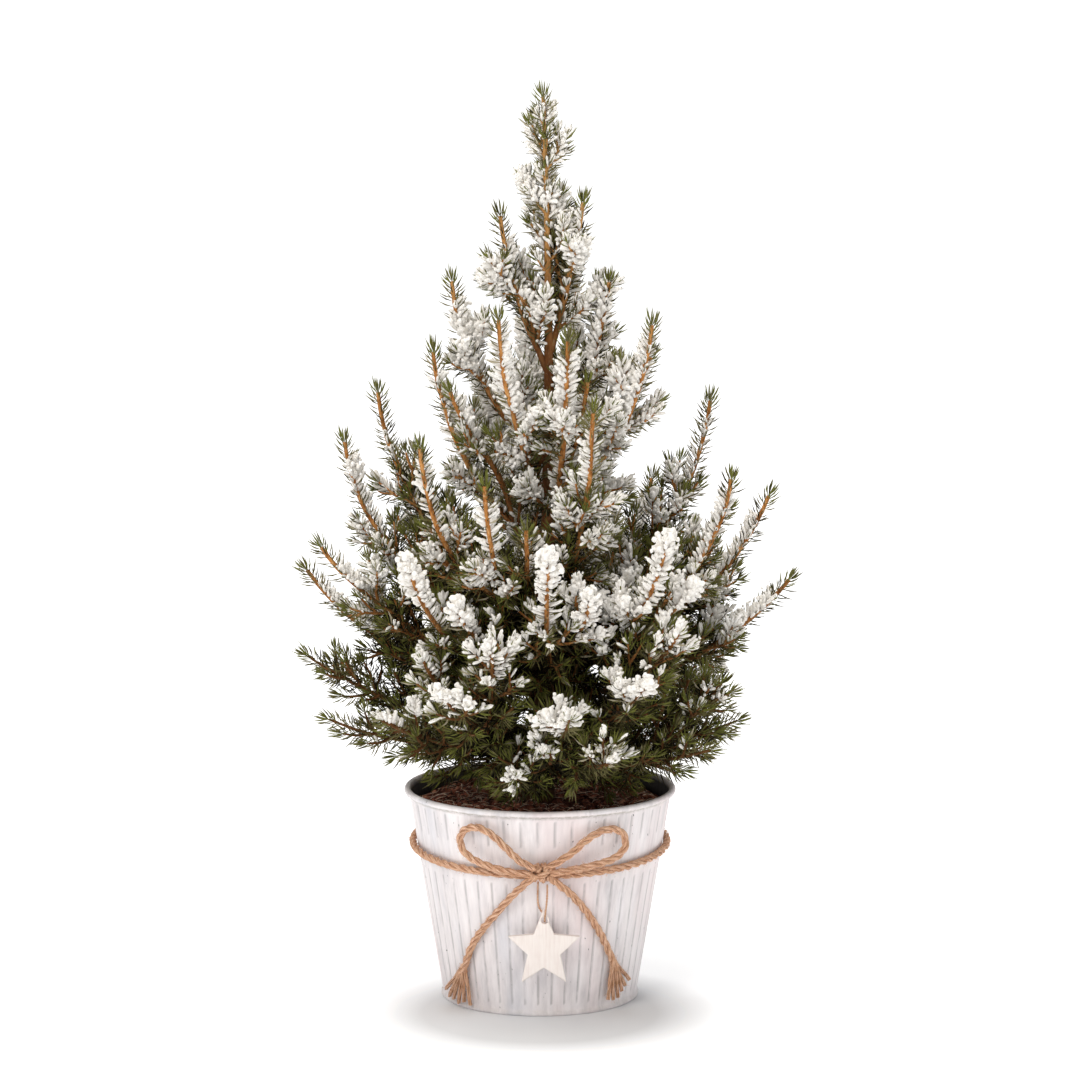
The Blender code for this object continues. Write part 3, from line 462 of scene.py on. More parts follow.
class Finish(Tree):
    """A Principled material that is written one node at a time, in the object's own coordinates."""

    def __init__(self, name, colour=(0.8, 0.8, 0.8), roughness=0.6, **values):
        self.material = bpy.data.materials.new(name)
        self.material.use_nodes = True
        super().__init__(self.material.node_tree)
        self.shader = self.tree.nodes["Principled BSDF"]
        self.shader.inputs["Base Color"].default_value = (*colour, 1)
        self.shader.inputs["Roughness"].default_value = roughness
        for key, value in values.items():
            self.shader.inputs[key.replace("_", " ")].default_value = value
        self.at = None

    def place(self):
        """Where a point lies on the object."""
        if self.at is None:
            self.at = self.node("ShaderNodeTexCoord").outputs["Object"]
        return self.at

    def attribute(self, label, output="Fac"):
        """A named attribute of the mesh."""
        return self.node("ShaderNodeAttribute", attribute_name=label).outputs[output]

    def stretched(self, stretch, at=None):
        """A place multiplied along each axis."""
        return self.vector("MULTIPLY", at or self.place(), stretch)

    def noise(self, size, detail=3.0, roughness=0.5, stretch=(1, 1, 1), at=None):
        """Noise with features about size metres wide."""
        values = {"Vector": self.stretched(stretch, at), "Scale": 1 / size, "Detail": detail,
                  "Roughness": roughness}
        return self.first("ShaderNodeTexNoise", values)

    def ramp(self, value, *stops):
        """Colours at shares of a value."""
        made = self.node("ShaderNodeValToRGB", {0: value})
        line = made.color_ramp
        for stop in stops[2:]:
            line.elements.new(stop[0])
        for stop, (place, colour) in zip(line.elements, stops):
            stop.position = place
            stop.color = (*colour, 1)
        return made.outputs["Color"]

    def coloured(self, colour, *layers):
        """Gives the surface a colour, under layers that are each a share and another colour."""
        for share, over in layers:
            made = self.node("ShaderNodeMix", {0: share, 6: colour, 7: (*over, 1)}, data_type="RGBA")
            colour = made.outputs[2]
        self.join("Base Color", colour)

    def join(self, label, value):
        """Gives the shader a value that isn't the same everywhere."""
        self.tree.links.new(value, self.shader.inputs[label])

    def bump(self, height, distance, strength=1.0):
        """Raises the surface by a height from 0 to 1 over a distance."""
        values = {"Height": height, "Distance": distance, "Strength": strength}
        self.join("Normal", self.first("ShaderNodeBump", values))


# ---- shapes ----

def linked(name, data):
    """An object in the scene for its data."""
    made = bpy.data.objects.new(name, data)
    bpy.context.scene.collection.objects.link(made)
    return made


def shown(piece, slot, *nodes):
    """The piece rides with the object, in place of the nodes; slot is not used."""
    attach(piece, BODY)
    if nodes:
        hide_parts(*nodes)
    return piece


def circle(centre, along, radius, sides, side=None):
    """Points round a centre, counter-clockwise as seen against along."""
    side = (side or along.orthogonal()).normalized()
    return [centre + Matrix.Rotation(math.tau * k / sides, 3, along) @ side * radius for k in range(sides)]


def closed(shaped, name, *materials):
    """An object from a bmesh, closed at its holes, with its faces turned outwards."""
    bmesh.ops.remove_doubles(shaped, verts=shaped.verts, dist=1e-6)
    bmesh.ops.holes_fill(shaped, edges=shaped.edges)
    bmesh.ops.recalc_face_normals(shaped, faces=shaped.faces)
    mesh = bpy.data.meshes.new(name)
    shaped.to_mesh(mesh)
    shaped.free()
    for material in materials:
        mesh.materials.append(material)
    mesh.shade_smooth()
    return linked(name, mesh)


def with_values(mesh, values_by_name):
    """Gives a mesh named numbers or directions, one for each of its points."""
    for label, values in values_by_name.items():
        values = np.ascontiguousarray(values, dtype=float)
        kind, field = ("FLOAT_VECTOR", "vector") if values.ndim == 2 else ("FLOAT", "value")
        mesh.attributes.new(label, kind, "POINT").data.foreach_set(field, values.ravel())
    mesh.update()


def rings_closed(name, rings, material):
    """A closed body through rings of points."""
    shaped = bmesh.new()
    made = [[shaped.verts.new(p) for p in ring] for ring in rings]
    sides = len(rings[0])
    for low, high in zip(made, made[1:]):
        for k in range(sides):
            shaped.faces.new((low[k], low[(k + 1) % sides], high[(k + 1) % sides], high[k]))
    shaped.faces.new(made[0])
    shaped.faces.new(made[-1])
    return closed(shaped, name, material)


def line_mesh(name, lines, **attributes):
    """Lines as a mesh of edges; each attribute has a number for every point of every line."""
    points = np.concatenate([np.asarray(line, float).reshape(-1, 3) for line in lines])
    starts = np.cumsum([0] + [len(line) for line in lines])
    ends = set((starts[1:] - 1).tolist())
    first = np.array([k for k in range(len(points)) if k not in ends])
    mesh = bpy.data.meshes.new(name)
    mesh.vertices.add(len(points))
    mesh.vertices.foreach_set("co", points.ravel())
    mesh.edges.add(len(first))
    mesh.edges.foreach_set("vertices", np.stack([first, first + 1], 1).ravel())
    with_values(mesh, {label: np.concatenate(values) for label, values in attributes.items()})
    return linked(name, mesh)


def point_mesh(name, points, **attributes):
    """Loose points as a mesh, with attributes that are numbers or directions."""
    mesh = bpy.data.meshes.new(name)
    mesh.vertices.add(len(points))
    mesh.vertices.foreach_set("co", np.ascontiguousarray(points, dtype=float).ravel())
    with_values(mesh, attributes)
    return linked(name, mesh)


def points_of(piece):
    """The places of a mesh's points, as an array."""
    places = np.zeros(3 * len(piece.data.vertices))
    piece.data.vertices.foreach_get("co", places)
    return places.reshape(-1, 3)


def made_plain(piece):
    """The mesh of an object with all that shapes it; the object goes."""
    mesh = bpy.data.meshes.new_from_object(piece.evaluated_get(bpy.context.evaluated_depsgraph_get()))
    bpy.data.objects.remove(piece)
    return mesh


# ---- lines ----

def smooth_line(points, step):
    """Points about step apart along the smooth curve through the given ones."""
    points = [Vector(p) for p in points]
    ends = [2 * points[0] - points[1], *points, 2 * points[-1] - points[-2]]
    fine = []
    for a, b, c, d in zip(ends, ends[1:], ends[2:], ends[3:]):
        for k in range(12):
            t = k / 12
            fine.append(0.5 * (2 * b + (c - a) * t + (2 * a - 5 * b + 4 * c - d) * t**2
                               + (3 * b - a - 3 * c + d) * t**3))
    return even_line([*fine, points[-1]], step)


def even_line(line, step):
    """The same line with points evenly spaced, about step apart."""
    line = np.array([tuple(p) for p in line])
    along = np.concatenate([[0], np.cumsum(np.linalg.norm(np.diff(line, axis=0), axis=1))])
    at = np.linspace(0, along[-1], max(2, round(along[-1] / step) + 1))
    return [Vector(p) for p in zip(*(np.interp(at, along, line[:, k]) for k in range(3)))]


def bezier(a, b, c, d):
    """The curve with these ends and handles, as a function of 0 to 1."""
    return lambda t: (1 - t) ** 3 * a + 3 * t * (1 - t) ** 2 * b + 3 * t**2 * (1 - t) * c + t**3 * d


def along_curve(curve, steps):
    """Points from one end of a curve to the other."""
    return [curve(k / steps) for k in range(steps + 1)]


def line_length(line):
    """The length of a line of points."""
    return sum((q - p).length for p, q in zip(line, line[1:]))


def place_on(line, at):
    """(point, direction) at a distance along a line."""
    for p, q in zip(line, line[1:]):
        step = (q - p).length
        if at <= step or q is line[-1]:
            return p.lerp(q, at / step), (q - p).normalized()
        at -= step


def compass(azimuth, rise=0.0):
    """The direction of an azimuth and a rise, both in degrees."""
    a, e = math.radians(azimuth), math.radians(rise)
    return Vector((math.cos(a) * math.cos(e), math.sin(a) * math.cos(e), math.sin(e)))


def leaning(along, out, angle):
    """The direction that leans off along, towards out, by an angle in degrees."""
    out = (out - out.dot(along) * along).normalized()
    return along * math.cos(math.radians(angle)) + out * math.sin(math.radians(angle))


def wall_radius(height):
    """The pot's outer radius at a height of its plain wall."""
    (foot, low), (top, high) = WALL_FOOT, WALL_TOP
    return foot + (top - foot) * (height - low) / (high - low)


def on_wall(across, height, standoff):
    """A point in front of the pot's wall, from mm across, mm up and mm off the wall."""
    radius = wall_radius(height * MM) + standoff * MM
    return Vector((across * MM, -math.sqrt(radius**2 - (across * MM) ** 2), height * MM))


def outside_knot(line, room):
    """The line without the points that lie nearer to the knot's middle than its skin and room."""
    centre = on_wall(*KNOT_CENTRE)
    half = KNOT_HALF + Vector((1, 1, 1)) * room
    return [p for p in line if sum(((p[k] - centre[k]) / half[k]) ** 2 for k in range(3)) > 1]


# ---- view and stage ----

def build_view():
    """The camera."""
    camera = bpy.data.cameras.new("view")
    camera.lens, camera.sensor_width, camera.clip_end = VIEW_LENS, VIEW_SENSOR, 200.0
    placed = linked("view", camera)
    placed.location = VIEW_PLACE
    placed.rotation_euler = (math.radians(90 - VIEW_DOWN), 0, 0)
    bpy.context.scene.camera = placed
    bpy.context.scene.view_settings.view_transform = "Standard"


def build_stage():
    """A white floor that glows, with a painted shadow round the pot, a white room and soft lamps."""
    bpy.ops.mesh.primitive_circle_add(vertices=96, radius=FLOOR_RADIUS, fill_type="NGON")
    floor = bpy.context.object
    floor.name = "floor"
    pale = Finish("floor_white", FLOOR_COLOUR, 0.9, Specular_IOR_Level=0.0, Emission_Color=(1, 1, 1, 1))
    # painted light and painted shadow: the glow grows with the distance from a middle just before the pot
    far = pale.vector("LENGTH", pale.vector("ADD", pale.place(), PAINTED_SHADOW_SHIFT))
    glows = [pale.remap(far, first, last, 0.0, power) for first, last, power in FLOOR_GLOWS_AND_PAINTED_SHADOW]
    pale.join("Emission Strength", pale.math("ADD", *glows))
    floor.data.materials.append(pale.material)
    world = bpy.data.worlds.new("room")
    bpy.context.scene.world = world
    world.use_nodes = True
    room = world.node_tree.nodes["Background"]
    room.inputs["Color"].default_value = (*ROOM_COLOUR, 1)
    room.inputs["Strength"].default_value = ROOM_POWER
    for name, (place, aim, size, power, tint) in LAMPS.items():
        lamp = bpy.data.lights.new(name, "AREA")
        lamp.shape, lamp.size, lamp.energy, lamp.color = "DISK", size, power, tint
        placed = linked(name, lamp)
        placed.location = place
        placed.rotation_euler = (Vector(place) - Vector(aim)).to_track_quat("Z", "Y").to_euler()


# ---- twine ----

def jute():
    """Fibres that run along each strand, paler where they are rubbed; the fibres differ in tone, and the
    darkest, low between raised fibres, are painted shade.
    """
    made = Finish("jute_fibres", roughness=0.85, Specular_IOR_Level=0.2)
    round_and_along = made.attribute("fibre", "Vector")
    fine = made.noise(0.35, 4, 0.7, (1, 1, 0.10), round_and_along)
    broad = made.noise(1.6, 2, 0.5, (1, 1, 0.05), round_and_along)
    mottle = made.noise(6 * MM, 2)
    # fibre tones, with painted shade in the low parts of the same noise that raises the fibres
    made.coloured(
        made.ramp(fine, (0.32, (0.130, 0.040, 0.018)), (0.45, (0.540, 0.268, 0.145)),
                  (0.55, (0.860, 0.555, 0.385)), (0.70, (0.980, 0.790, 0.640))),
        (made.remap(broad, 0.42, 0.78), (0.620, 0.325, 0.185)),
        (made.remap(mottle, 0.4, 0.75, 0.0, 0.35), (0.864, 0.588, 0.390)))
    made.bump(fine, 0.55 * MM)
    return made.material


def rope_growth():
    """Strands wound round each line, with fine fibres that stand off them."""
    rope = Growth("rope", Strands=STRANDS, Strand=STRAND_RADIUS, Offset=STRAND_OFFSET, Pitch=PITCH,
                  Sides=8, Fuzz=330.0, Fuzz_length=FUZZ_LENGTH, Seed=SEED, Finish=jute())
    line = rope.first("GeometryNodeMeshToCurve", {"Mesh": rope.entry.outputs["Geometry"]})
    line = rope.first("GeometryNodeResampleCurve", {"Curve": line, "Length": 0.75 * MM}, mode="LENGTH")
    copies = rope.node("GeometryNodeDuplicateElements", {"Geometry": line, "Amount": rope.size("Strands")},
                       domain="SPLINE").outputs
    place = rope.node("GeometryNodeSplineParameter").outputs
    wave = rope.first("ShaderNodeTexNoise", {"W": rope.math("MULTIPLY", place["Length"], 90.0), "Scale": 1.0},
                      noise_dimensions="1D")
    turn = rope.math("DIVIDE", copies["Duplicate Index"], rope.size("Strands"))
    turn = rope.math("ADD", turn, rope.math("DIVIDE", place["Length"], rope.size("Pitch")))
    turn = rope.math("ADD", turn, rope.math("MULTIPLY", wave, 0.25))
    spoke = rope.first("ShaderNodeVectorRotate", {
        "Vector": rope.first("GeometryNodeInputNormal"), "Axis": rope.first("GeometryNodeInputTangent"),
        "Angle": rope.math("MULTIPLY", turn, math.tau)}, rotation_type="AXIS_ANGLE")
    wound = rope.moved(copies["Geometry"], Offset=rope.vector("SCALE", spoke, scale=rope.size("Offset")))
    wound = rope.stored(wound, "along", rope.math("DIVIDE", place["Length"], MM))
    wound = rope.stored(wound, "which", rope.math("MULTIPLY", copies["Duplicate Index"], 7.3))
    profile = rope.stored(rope.ring(rope.size("Sides"), rope.size("Strand")), "around",
                          rope.math("MULTIPLY", place["Factor"], math.tau))
    strand = rope.tube(wound, profile)
    around = rope.named("around")
    fibre = rope.combined(rope.math("COSINE", around), rope.math("SINE", around),
                          rope.math("ADD", rope.named("along"), rope.named("which")))
    strand = rope.stored(strand, "fibre", fibre, "FLOAT_VECTOR")
    spots = rope.node("GeometryNodeDistributePointsOnFaces",
                      {"Mesh": strand, "Density": rope.math("MULTIPLY", rope.size("Fuzz"), 1000.0),
                       "Seed": rope.size("Seed")}).outputs
    hair = rope.tube(rope.arc(3, (0, 0, 0), (0.45, 0.05, 0.14), (1.0, 0.0, 0.34)), rope.ring(3, 0.028))
    way = rope.turned(spots["Normal"], rope.random((-1, -1, -1), (1, 1, 1), 5, "FLOAT_VECTOR"))
    long = rope.math("MULTIPLY", rope.random(0.4, 1.0, 3), rope.size("Fuzz_length"))
    return rope.finished(rope.joined(strand, rope.stood(spots["Points"], hair, way, long)))


def build_band(rope):
    """The twine round the pot, whose ends go into the knot."""
    line = []
    for turn in np.linspace(-math.pi / 2, 1.5 * math.pi, 241):
        height = BAND_HEIGHT + BAND_DIP * math.sin(turn)
        radius = wall_radius(height) + TWINE_RADIUS + GAP
        line.append(Vector((radius * math.cos(turn), radius * math.sin(turn), height)))
    line = outside_knot(line, -1.5 * MM)
    shown(rope.grown(line_mesh("band_line", [line]), "band_rope"), "jute_twine", "twine_band")


def build_bow(rope):
    """The bow's loops and tails: free cords from the knot."""
    for name, route, far in (("bow_loop_left", LOOP_LEFT, "object"), ("bow_loop_right", LOOP_RIGHT, "object"),
                             ("bow_tail_left", TAIL_LEFT, "bare"), ("bow_tail_right", TAIL_RIGHT, "bare")):
        fine = outside_knot(smooth_line([on_wall(*p) for p in route], 0.5 * MM), -1.2 * MM)
        line = even_line(fine, 1.0 * MM)
        piece = shown(rope.grown(line_mesh("cord_line", [line]), name + "_rope"), "jute_twine", name)


def build_knot(rope):
    """Short turns of twine over the crossing."""
    centre = on_wall(*KNOT_CENTRE)
    lines = []
    for across, lean, tall, deep in KNOT_TURNS:
        tilt = Matrix.Rotation(math.radians(lean), 3, "Y")
        lines.append([centre + Vector((across * MM, 0, 0)) + tilt @ Vector((
            0.9 * MM * math.sin(2 * a), -deep * MM * math.cos(a) * 0.8, tall * MM * math.sin(a)))
            for a in np.linspace(0.35, math.tau - 0.35, 40)])
    lines.append(smooth_line([centre + Vector(p) * MM for p in KNOT_OVER], 0.8 * MM))
    shown(rope.grown(line_mesh("knot_line", lines), "knot_rope", Pitch=13 * MM, Strand=0.8 * MM,
                     Offset=0.85 * MM), "jute_twine", "bow_knot")


def build_fringes(rope, rng):
    """The strands that have come loose below the tails, each split into a few yarns."""
    for name, tail, ends in (("bow_fringe_left", TAIL_LEFT, FRINGE_LEFT),
                             ("bow_fringe_right", TAIL_RIGHT, FRINGE_RIGHT)):
        low = [on_wall(*p) for p in tail[-2:]]
        way = (low[1] - low[0]).normalized()
        root = low[1] - way * 5 * MM
        lines = []
        for across, high, off in ends:
            end = on_wall(across, high + rng.uniform(0, 1.5), off)
            start = root + Vector((end.x - root.x, 0, 0)).normalized() * rng.uniform(0.2, 1.0) * MM
            bow = start.lerp(end, 0.55) + Vector((rng.uniform(-0.3, 0.3), rng.uniform(-0.7, 0), 0)) * MM
            lines.append(smooth_line([start, start.lerp(bow, 0.5), bow, end], 0.8 * MM))
        shown(rope.grown(line_mesh("fringe_line", lines), name + "_yarns", Strands=3, Strand=0.52 * MM,
                         Offset=0.56 * MM, Pitch=40 * MM, Sides=6, Fuzz=300.0), "jute_twine", name)


# ---- star ----

def painted_wood():
    """Cream paint with a little of the wood's grain."""
    made = Finish("cream_paint", roughness=0.6, Specular_IOR_Level=0.35)
    grain = made.noise(1.1 * MM, 3, 0.6, (1, 1, 0.08))
    patch = made.noise(8 * MM, 3)
    made.coloured(made.ramp(grain, (0.35, (0.850, 0.765, 0.725)), (0.65, (0.915, 0.850, 0.810))),
                  (made.remap(patch, 0.4, 0.75, 0, 0.5), (0.940, 0.885, 0.850)))
    made.bump(grain, 0.12 * MM, 0.5)
    return made.material


def build_star():
    """A sawn star with eased edges and a hole for its thread."""
    drawn = bpy.data.curves.new("star_outline", "CURVE")
    drawn.dimensions, drawn.fill_mode = "2D", "BOTH"
    corners = []
    for k in range(10):
        turn = math.radians(90 + 36 * k)
        size = STAR_OUTER * (STAR_INNER_SHARE if k % 2 else 1)
        corners.append(Vector((size.x * math.cos(turn), size.y * math.sin(turn), 0)))
    outline = []
    for k, corner in enumerate(corners):
        before, after = corners[k - 1], corners[(k + 1) % 10]
        ease = (0.9 if k % 2 == 0 else 0.5) * MM
        a = corner + (before - corner).normalized() * ease
        b = corner + (after - corner).normalized() * ease
        outline += [a.lerp(corner, t).lerp(corner.lerp(b, t), t) for t in (0, 0.33, 0.67, 1)]
    hole = [Vector((STAR_HOLE[0] - STAR_CENTRE[0], STAR_HOLE[1] - STAR_CENTRE[1], 0)) + p
            for p in circle(Vector(), UP, STAR_HOLE_RADIUS + 0.25 * MM, 28)]
    for ring in (outline, hole):
        spline = drawn.splines.new("POLY")
        spline.points.add(len(ring) - 1)
        for point, place in zip(spline.points, ring):
            point.co = (*place, 1)
        spline.use_cyclic_u = True
    bevel = 0.45 * MM
    drawn.extrude, drawn.bevel_depth, drawn.bevel_resolution = STAR_THICKNESS / 2 - bevel, bevel, 3
    drawn.offset = -bevel
    shaped = bmesh.new()
    shaped.from_mesh(made_plain(linked("star_drawing", drawn)))
    middle = Vector((STAR_CENTRE[0], STAR_BACK - STAR_THICKNESS / 2, STAR_CENTRE[1]))
    shaped.transform(Matrix.Translation(middle) @ Matrix.Rotation(math.pi / 2, 4, "X"))
    star = closed(shaped, "painted_star", painted_wood())
    star.data.set_sharp_from_angle(angle=math.radians(38))
    return shown(star, "white_painted_wood", "star")


def build_thread(rope, star):
    """The thread that the star hangs on: down in front, through its hole, and up behind it."""
    x, z = STAR_HOLE
    middle, bow = STAR_BACK - STAR_THICKNESS / 2, STAR_THICKNESS / 2 + THREAD_RADIUS + THREAD_SLACK
    under = []
    for turn in range(0, 181, 20):
        t = math.radians(turn)
        under.append(Vector((x, middle - bow * math.cos(t), z + 1.7 * MM - bow * math.sin(t))))
    top, back_top = on_wall(3.6, 75.5, 7.0), on_wall(-1.0, 75.5, 3.2)
    front = [top, top.lerp(under[0], 0.5) + Vector((0.5, -0.4, 0)) * MM, under[0]]
    behind = [under[-1], under[-1] + Vector((-3.3, -0.2, 5.9)) * MM, back_top]
    front = outside_knot(smooth_line(front, 0.3 * MM), THREAD_RADIUS)
    behind = outside_knot(smooth_line(behind, 0.3 * MM), THREAD_RADIUS)
    line = even_line([*front[:-1], *under, *behind[1:]], 0.5 * MM)
    thread = rope.grown(line_mesh("thread_line", [line]), "star_thread_rope", Strands=2, Strand=0.32 * MM,
                        Offset=0.26 * MM, Pitch=3.2 * MM, Sides=6, Fuzz=500.0, Fuzz_length=1.2 * MM)
    shown(thread, "jute_twine", "star_thread")


# ---- pot and soil ----

def zinc():
    """Whitewash brushed down over zinc: pale, with pink and blue streaks and specks; painted shade in the
    grooves; chips under the rim and at the foot, over a darker band there that is painted shade; and a
    near-black inside.
    """
    made = Finish("whitewashed_zinc", roughness=0.5, Specular_IOR_Level=0.4)
    streaks = made.noise(9 * MM, 4, 0.6, (1, 1, 0.10))
    thin = made.noise(2.4 * MM, 4, 0.65, (1, 1, 0.06))
    patches = made.noise(30 * MM, 3, 0.5, (1, 1, 0.5))
    tint = made.noise(22 * MM, 2, 0.5, (1, 1, 0.14))
    broken = made.noise(5 * MM, 3, 0.6, (1, 1, 0.35))
    specks, few = made.noise(1.5 * MM, 2, 0.5, (1, 1, 0.6)), made.noise(11 * MM, 2)
    chips = made.noise(3.2 * MM, 4, 0.65)
    made.coloured(
        made.ramp(streaks, (0.30, (0.594, 0.566, 0.583)), (0.48, (0.748, 0.705, 0.716)),
                  (0.66, (0.879, 0.837, 0.849))),
        (made.remap(thin, 0.45, 0.72, 0.0, 0.5), (0.950, 0.907, 0.912)),
        (made.remap(thin, 0.42, 0.22, 0.0, 0.5), (0.499, 0.474, 0.497)),
        (made.remap(tint, 0.52, 0.72, 0.0, 0.5), (0.807, 0.658, 0.658)),
        (made.remap(tint, 0.46, 0.28, 0.0, 0.45), (0.641, 0.670, 0.739)),
        (made.remap(patches, 0.5, 0.75, 0.0, 0.4), (0.975, 0.936, 0.947)),
        # painted shade in the grooves, broken up by noise
        (made.math("MULTIPLY", made.attribute("groove"), made.remap(broken, 0.33, 0.56, 0.15, 0.9)),
         (0.31, 0.295, 0.305)),
        (made.math("MULTIPLY", made.remap(specks, 0.71, 0.76), made.remap(few, 0.47, 0.56)),
         (0.10, 0.095, 0.10)),
        # chips under the rim and at the foot, over a steady darkening there that is painted shade
        (made.math("MULTIPLY", made.attribute("chips_and_painted_shade"), made.remap(chips, 0.42, 0.56, 0.35, 1.0)),
         (0.40, 0.375, 0.33)),
        (made.attribute("inner"), (0.030, 0.025, 0.022)))
    made.join("Roughness", made.remap(thin, 0.3, 0.7, 0.42, 0.62))
    made.bump(made.math("ADD", thin, made.math("MULTIPLY", chips, 0.4)), 0.12 * MM, 0.5)
    return made.material


def groove_at(turn, height):
    """0 on a panel and 1 in the bottom of a groove, for arrays of places."""
    pitch = math.tau / GROOVES
    off = np.abs((turn - GROOVE_TURN + pitch / 2) % pitch - pitch / 2) * wall_radius(height)
    across = np.clip(1 - off / (GROOVE_WIDTH / 2), 0, 1)
    ends = [np.clip(np.minimum(height - low, high - height) / GROOVE_END, 0, 1)
            for low, high in (LOWER_FIELD, UPPER_FIELD)]
    return across * np.maximum(*ends)


def pot_outline():
    """(radius, height) of the pot's section, from the middle of its underside round to the inside."""
    base, bead = BASE_RADIUS, (WALL_TOP[0] - SHEET + RIM_BEAD, POT_HEIGHT - RIM_BEAD)
    foot = [(0, 0), (0.5 * base, 0.6 * MM), (base - 2 * MM, 0.6 * MM), (base - 1.6 * MM, 0),
            (base - 0.5 * MM, 0.1 * MM), (base, 0.7 * MM), (base + 0.05 * MM, 1.6 * MM),
            (base - 0.3 * MM, 2.4 * MM)]
    near_ends = {end + off for field in (LOWER_FIELD, UPPER_FIELD) for end in field
                 for off in (-1.3 * MM, 0, 1.3 * MM)}
    rows = sorted({*np.linspace(WALL_FOOT[1], WALL_TOP[1], 26), *near_ends})
    wall = [(wall_radius(height), height) for height in rows if WALL_FOOT[1] <= height <= WALL_TOP[1]]
    turns = [math.radians(turn) for turn in range(-75, 151, 15)]
    roll = [(bead[0] + RIM_BEAD * math.cos(turn), bead[1] + RIM_BEAD * math.sin(turn)) for turn in turns]
    down = np.linspace(WALL_TOP[1], SOIL_TOP - 8 * MM, 16)
    inner = [(wall_radius(height) - SHEET, height) for height in down]
    return [*foot, *wall, *roll, *inner, (WALL_FOOT[0] - SHEET, SHEET), (0, SHEET)]


def build_pot():
    """The sheet with its two fields of pressed grooves, bent over into a rolled rim."""
    shaped = bmesh.new()
    line = [shaped.verts.new((radius, 0, height)) for radius, height in pot_outline()]
    edges = [shaped.edges.new(pair) for pair in zip(line, line[1:])]
    bmesh.ops.spin(shaped, geom=line + edges, axis=UP, angle=math.tau, steps=12 * GROOVES)
    pot = closed(shaped, "zinc_pot", zinc())
    places = points_of(pot)
    radius, turn = np.hypot(places[:, 0], places[:, 1]), np.arctan2(places[:, 1], places[:, 0])
    height = places[:, 2]
    on_sheet = np.abs(radius - wall_radius(height)) < 0.3 * MM
    outside = on_sheet & (height > WALL_FOOT[1]) & (height < WALL_TOP[1])
    groove = np.where(outside, groove_at(turn, height), 0)
    dents = np.array([noise.noise(Vector((math.cos(a) * 3, math.sin(a) * 3, z * 25)))
                      for a, z in zip(turn, height)])
    shrink = 1 - (GROOVE_DEPTH * groove + 0.22 * MM * dents * outside) / np.maximum(radius, MM)
    places[:, :2] *= shrink[:, None]
    pot.data.vertices.foreach_set("co", places.ravel())
    # a band under the rolled rim and a ring at the foot, with chips and painted shade
    rim = np.clip((height - WALL_TOP[1] - 0.6 * MM) / (0.8 * MM), 0, 1)
    under = np.clip(1 - np.abs(height - WALL_TOP[1] - 0.2 * MM) / (1.3 * MM), 0, 1)
    foot = np.clip(1 - np.abs(height - 2.0 * MM) / (1.6 * MM), 0, 1) * 0.3
    inside = (radius < wall_radius(height) - 0.5 * SHEET) & (height < POT_HEIGHT - 1.3 * RIM_BEAD)
    with_values(pot.data, {"groove": groove, "chips_and_painted_shade": np.maximum(under, foot) * (1 - rim),
                           "inner": inside & (height > MM)})
    return shown(pot, "whitewashed_zinc", "pot")


# ---- soil ----

def peat():
    """Damp peat: crumbs of dark red-brown with paler rotted wood among them."""
    made = Finish("damp_peat", roughness=0.95, Specular_IOR_Level=0.15)
    crumbs = made.noise(2.2 * MM, 5, 0.7)
    patches = made.noise(9 * MM, 3)
    made.coloured(
        made.ramp(crumbs, (0.32, (0.020, 0.007, 0.005)), (0.5, (0.125, 0.040, 0.025)),
                  (0.66, (0.310, 0.110, 0.068)), (0.8, (0.560, 0.260, 0.170))),
        (made.remap(patches, 0.5, 0.7, 0, 0.6), (0.187, 0.048, 0.029)))
    made.bump(crumbs, 1.2 * MM)
    return made.material


def litter_growth(name, shape_of, finish, density, low, high, lift):
    """Small pieces strewn over what faces up."""
    strewn = Growth(name, Density=density, Seed=SEED, Finish=finish)
    facing = strewn.parts(strewn.first("GeometryNodeInputNormal"))[2]
    spots = strewn.first("GeometryNodeDistributePointsOnFaces", {
        "Mesh": strewn.entry.outputs["Geometry"], "Selection": strewn.math("GREATER_THAN", facing, 0.3),
        "Density": strewn.math("MULTIPLY", strewn.size("Density"), 1000.0), "Seed": strewn.size("Seed")})
    turn = strewn.random((-0.5, -0.5, -math.pi), (0.5, 0.5, math.pi), 2, "FLOAT_VECTOR")
    way = strewn.first("FunctionNodeEulerToRotation", {0: turn})
    size = strewn.random((low, low, low), (high, high, high), 3, "FLOAT_VECTOR")
    raised = strewn.moved(spots, Offset=(0, 0, lift))
    return strewn.finished(strewn.stood(raised, shape_of(strewn), way, size))


def fibre_shape(tree):
    """A bent fibre, about one long."""
    return tree.tube(tree.arc(6, (-0.5, 0, 0), (0.05, 0.35, 0.22), (0.5, -0.05, 0.02)), tree.ring(3, 0.022))


def crumb_shape(tree):
    """A rough crumb, about one across."""
    ball = tree.first("GeometryNodeMeshIcoSphere", {"Radius": 0.5, "Subdivisions": 2})
    rough = tree.node("ShaderNodeTexNoise", {"Scale": 2.6, "Detail": 2.0}).outputs["Color"]
    shift = tree.vector("SCALE", tree.vector("SUBTRACT", rough, (0.5, 0.5, 0.5)), scale=0.9)
    return tree.moved(ball, Offset=shift)


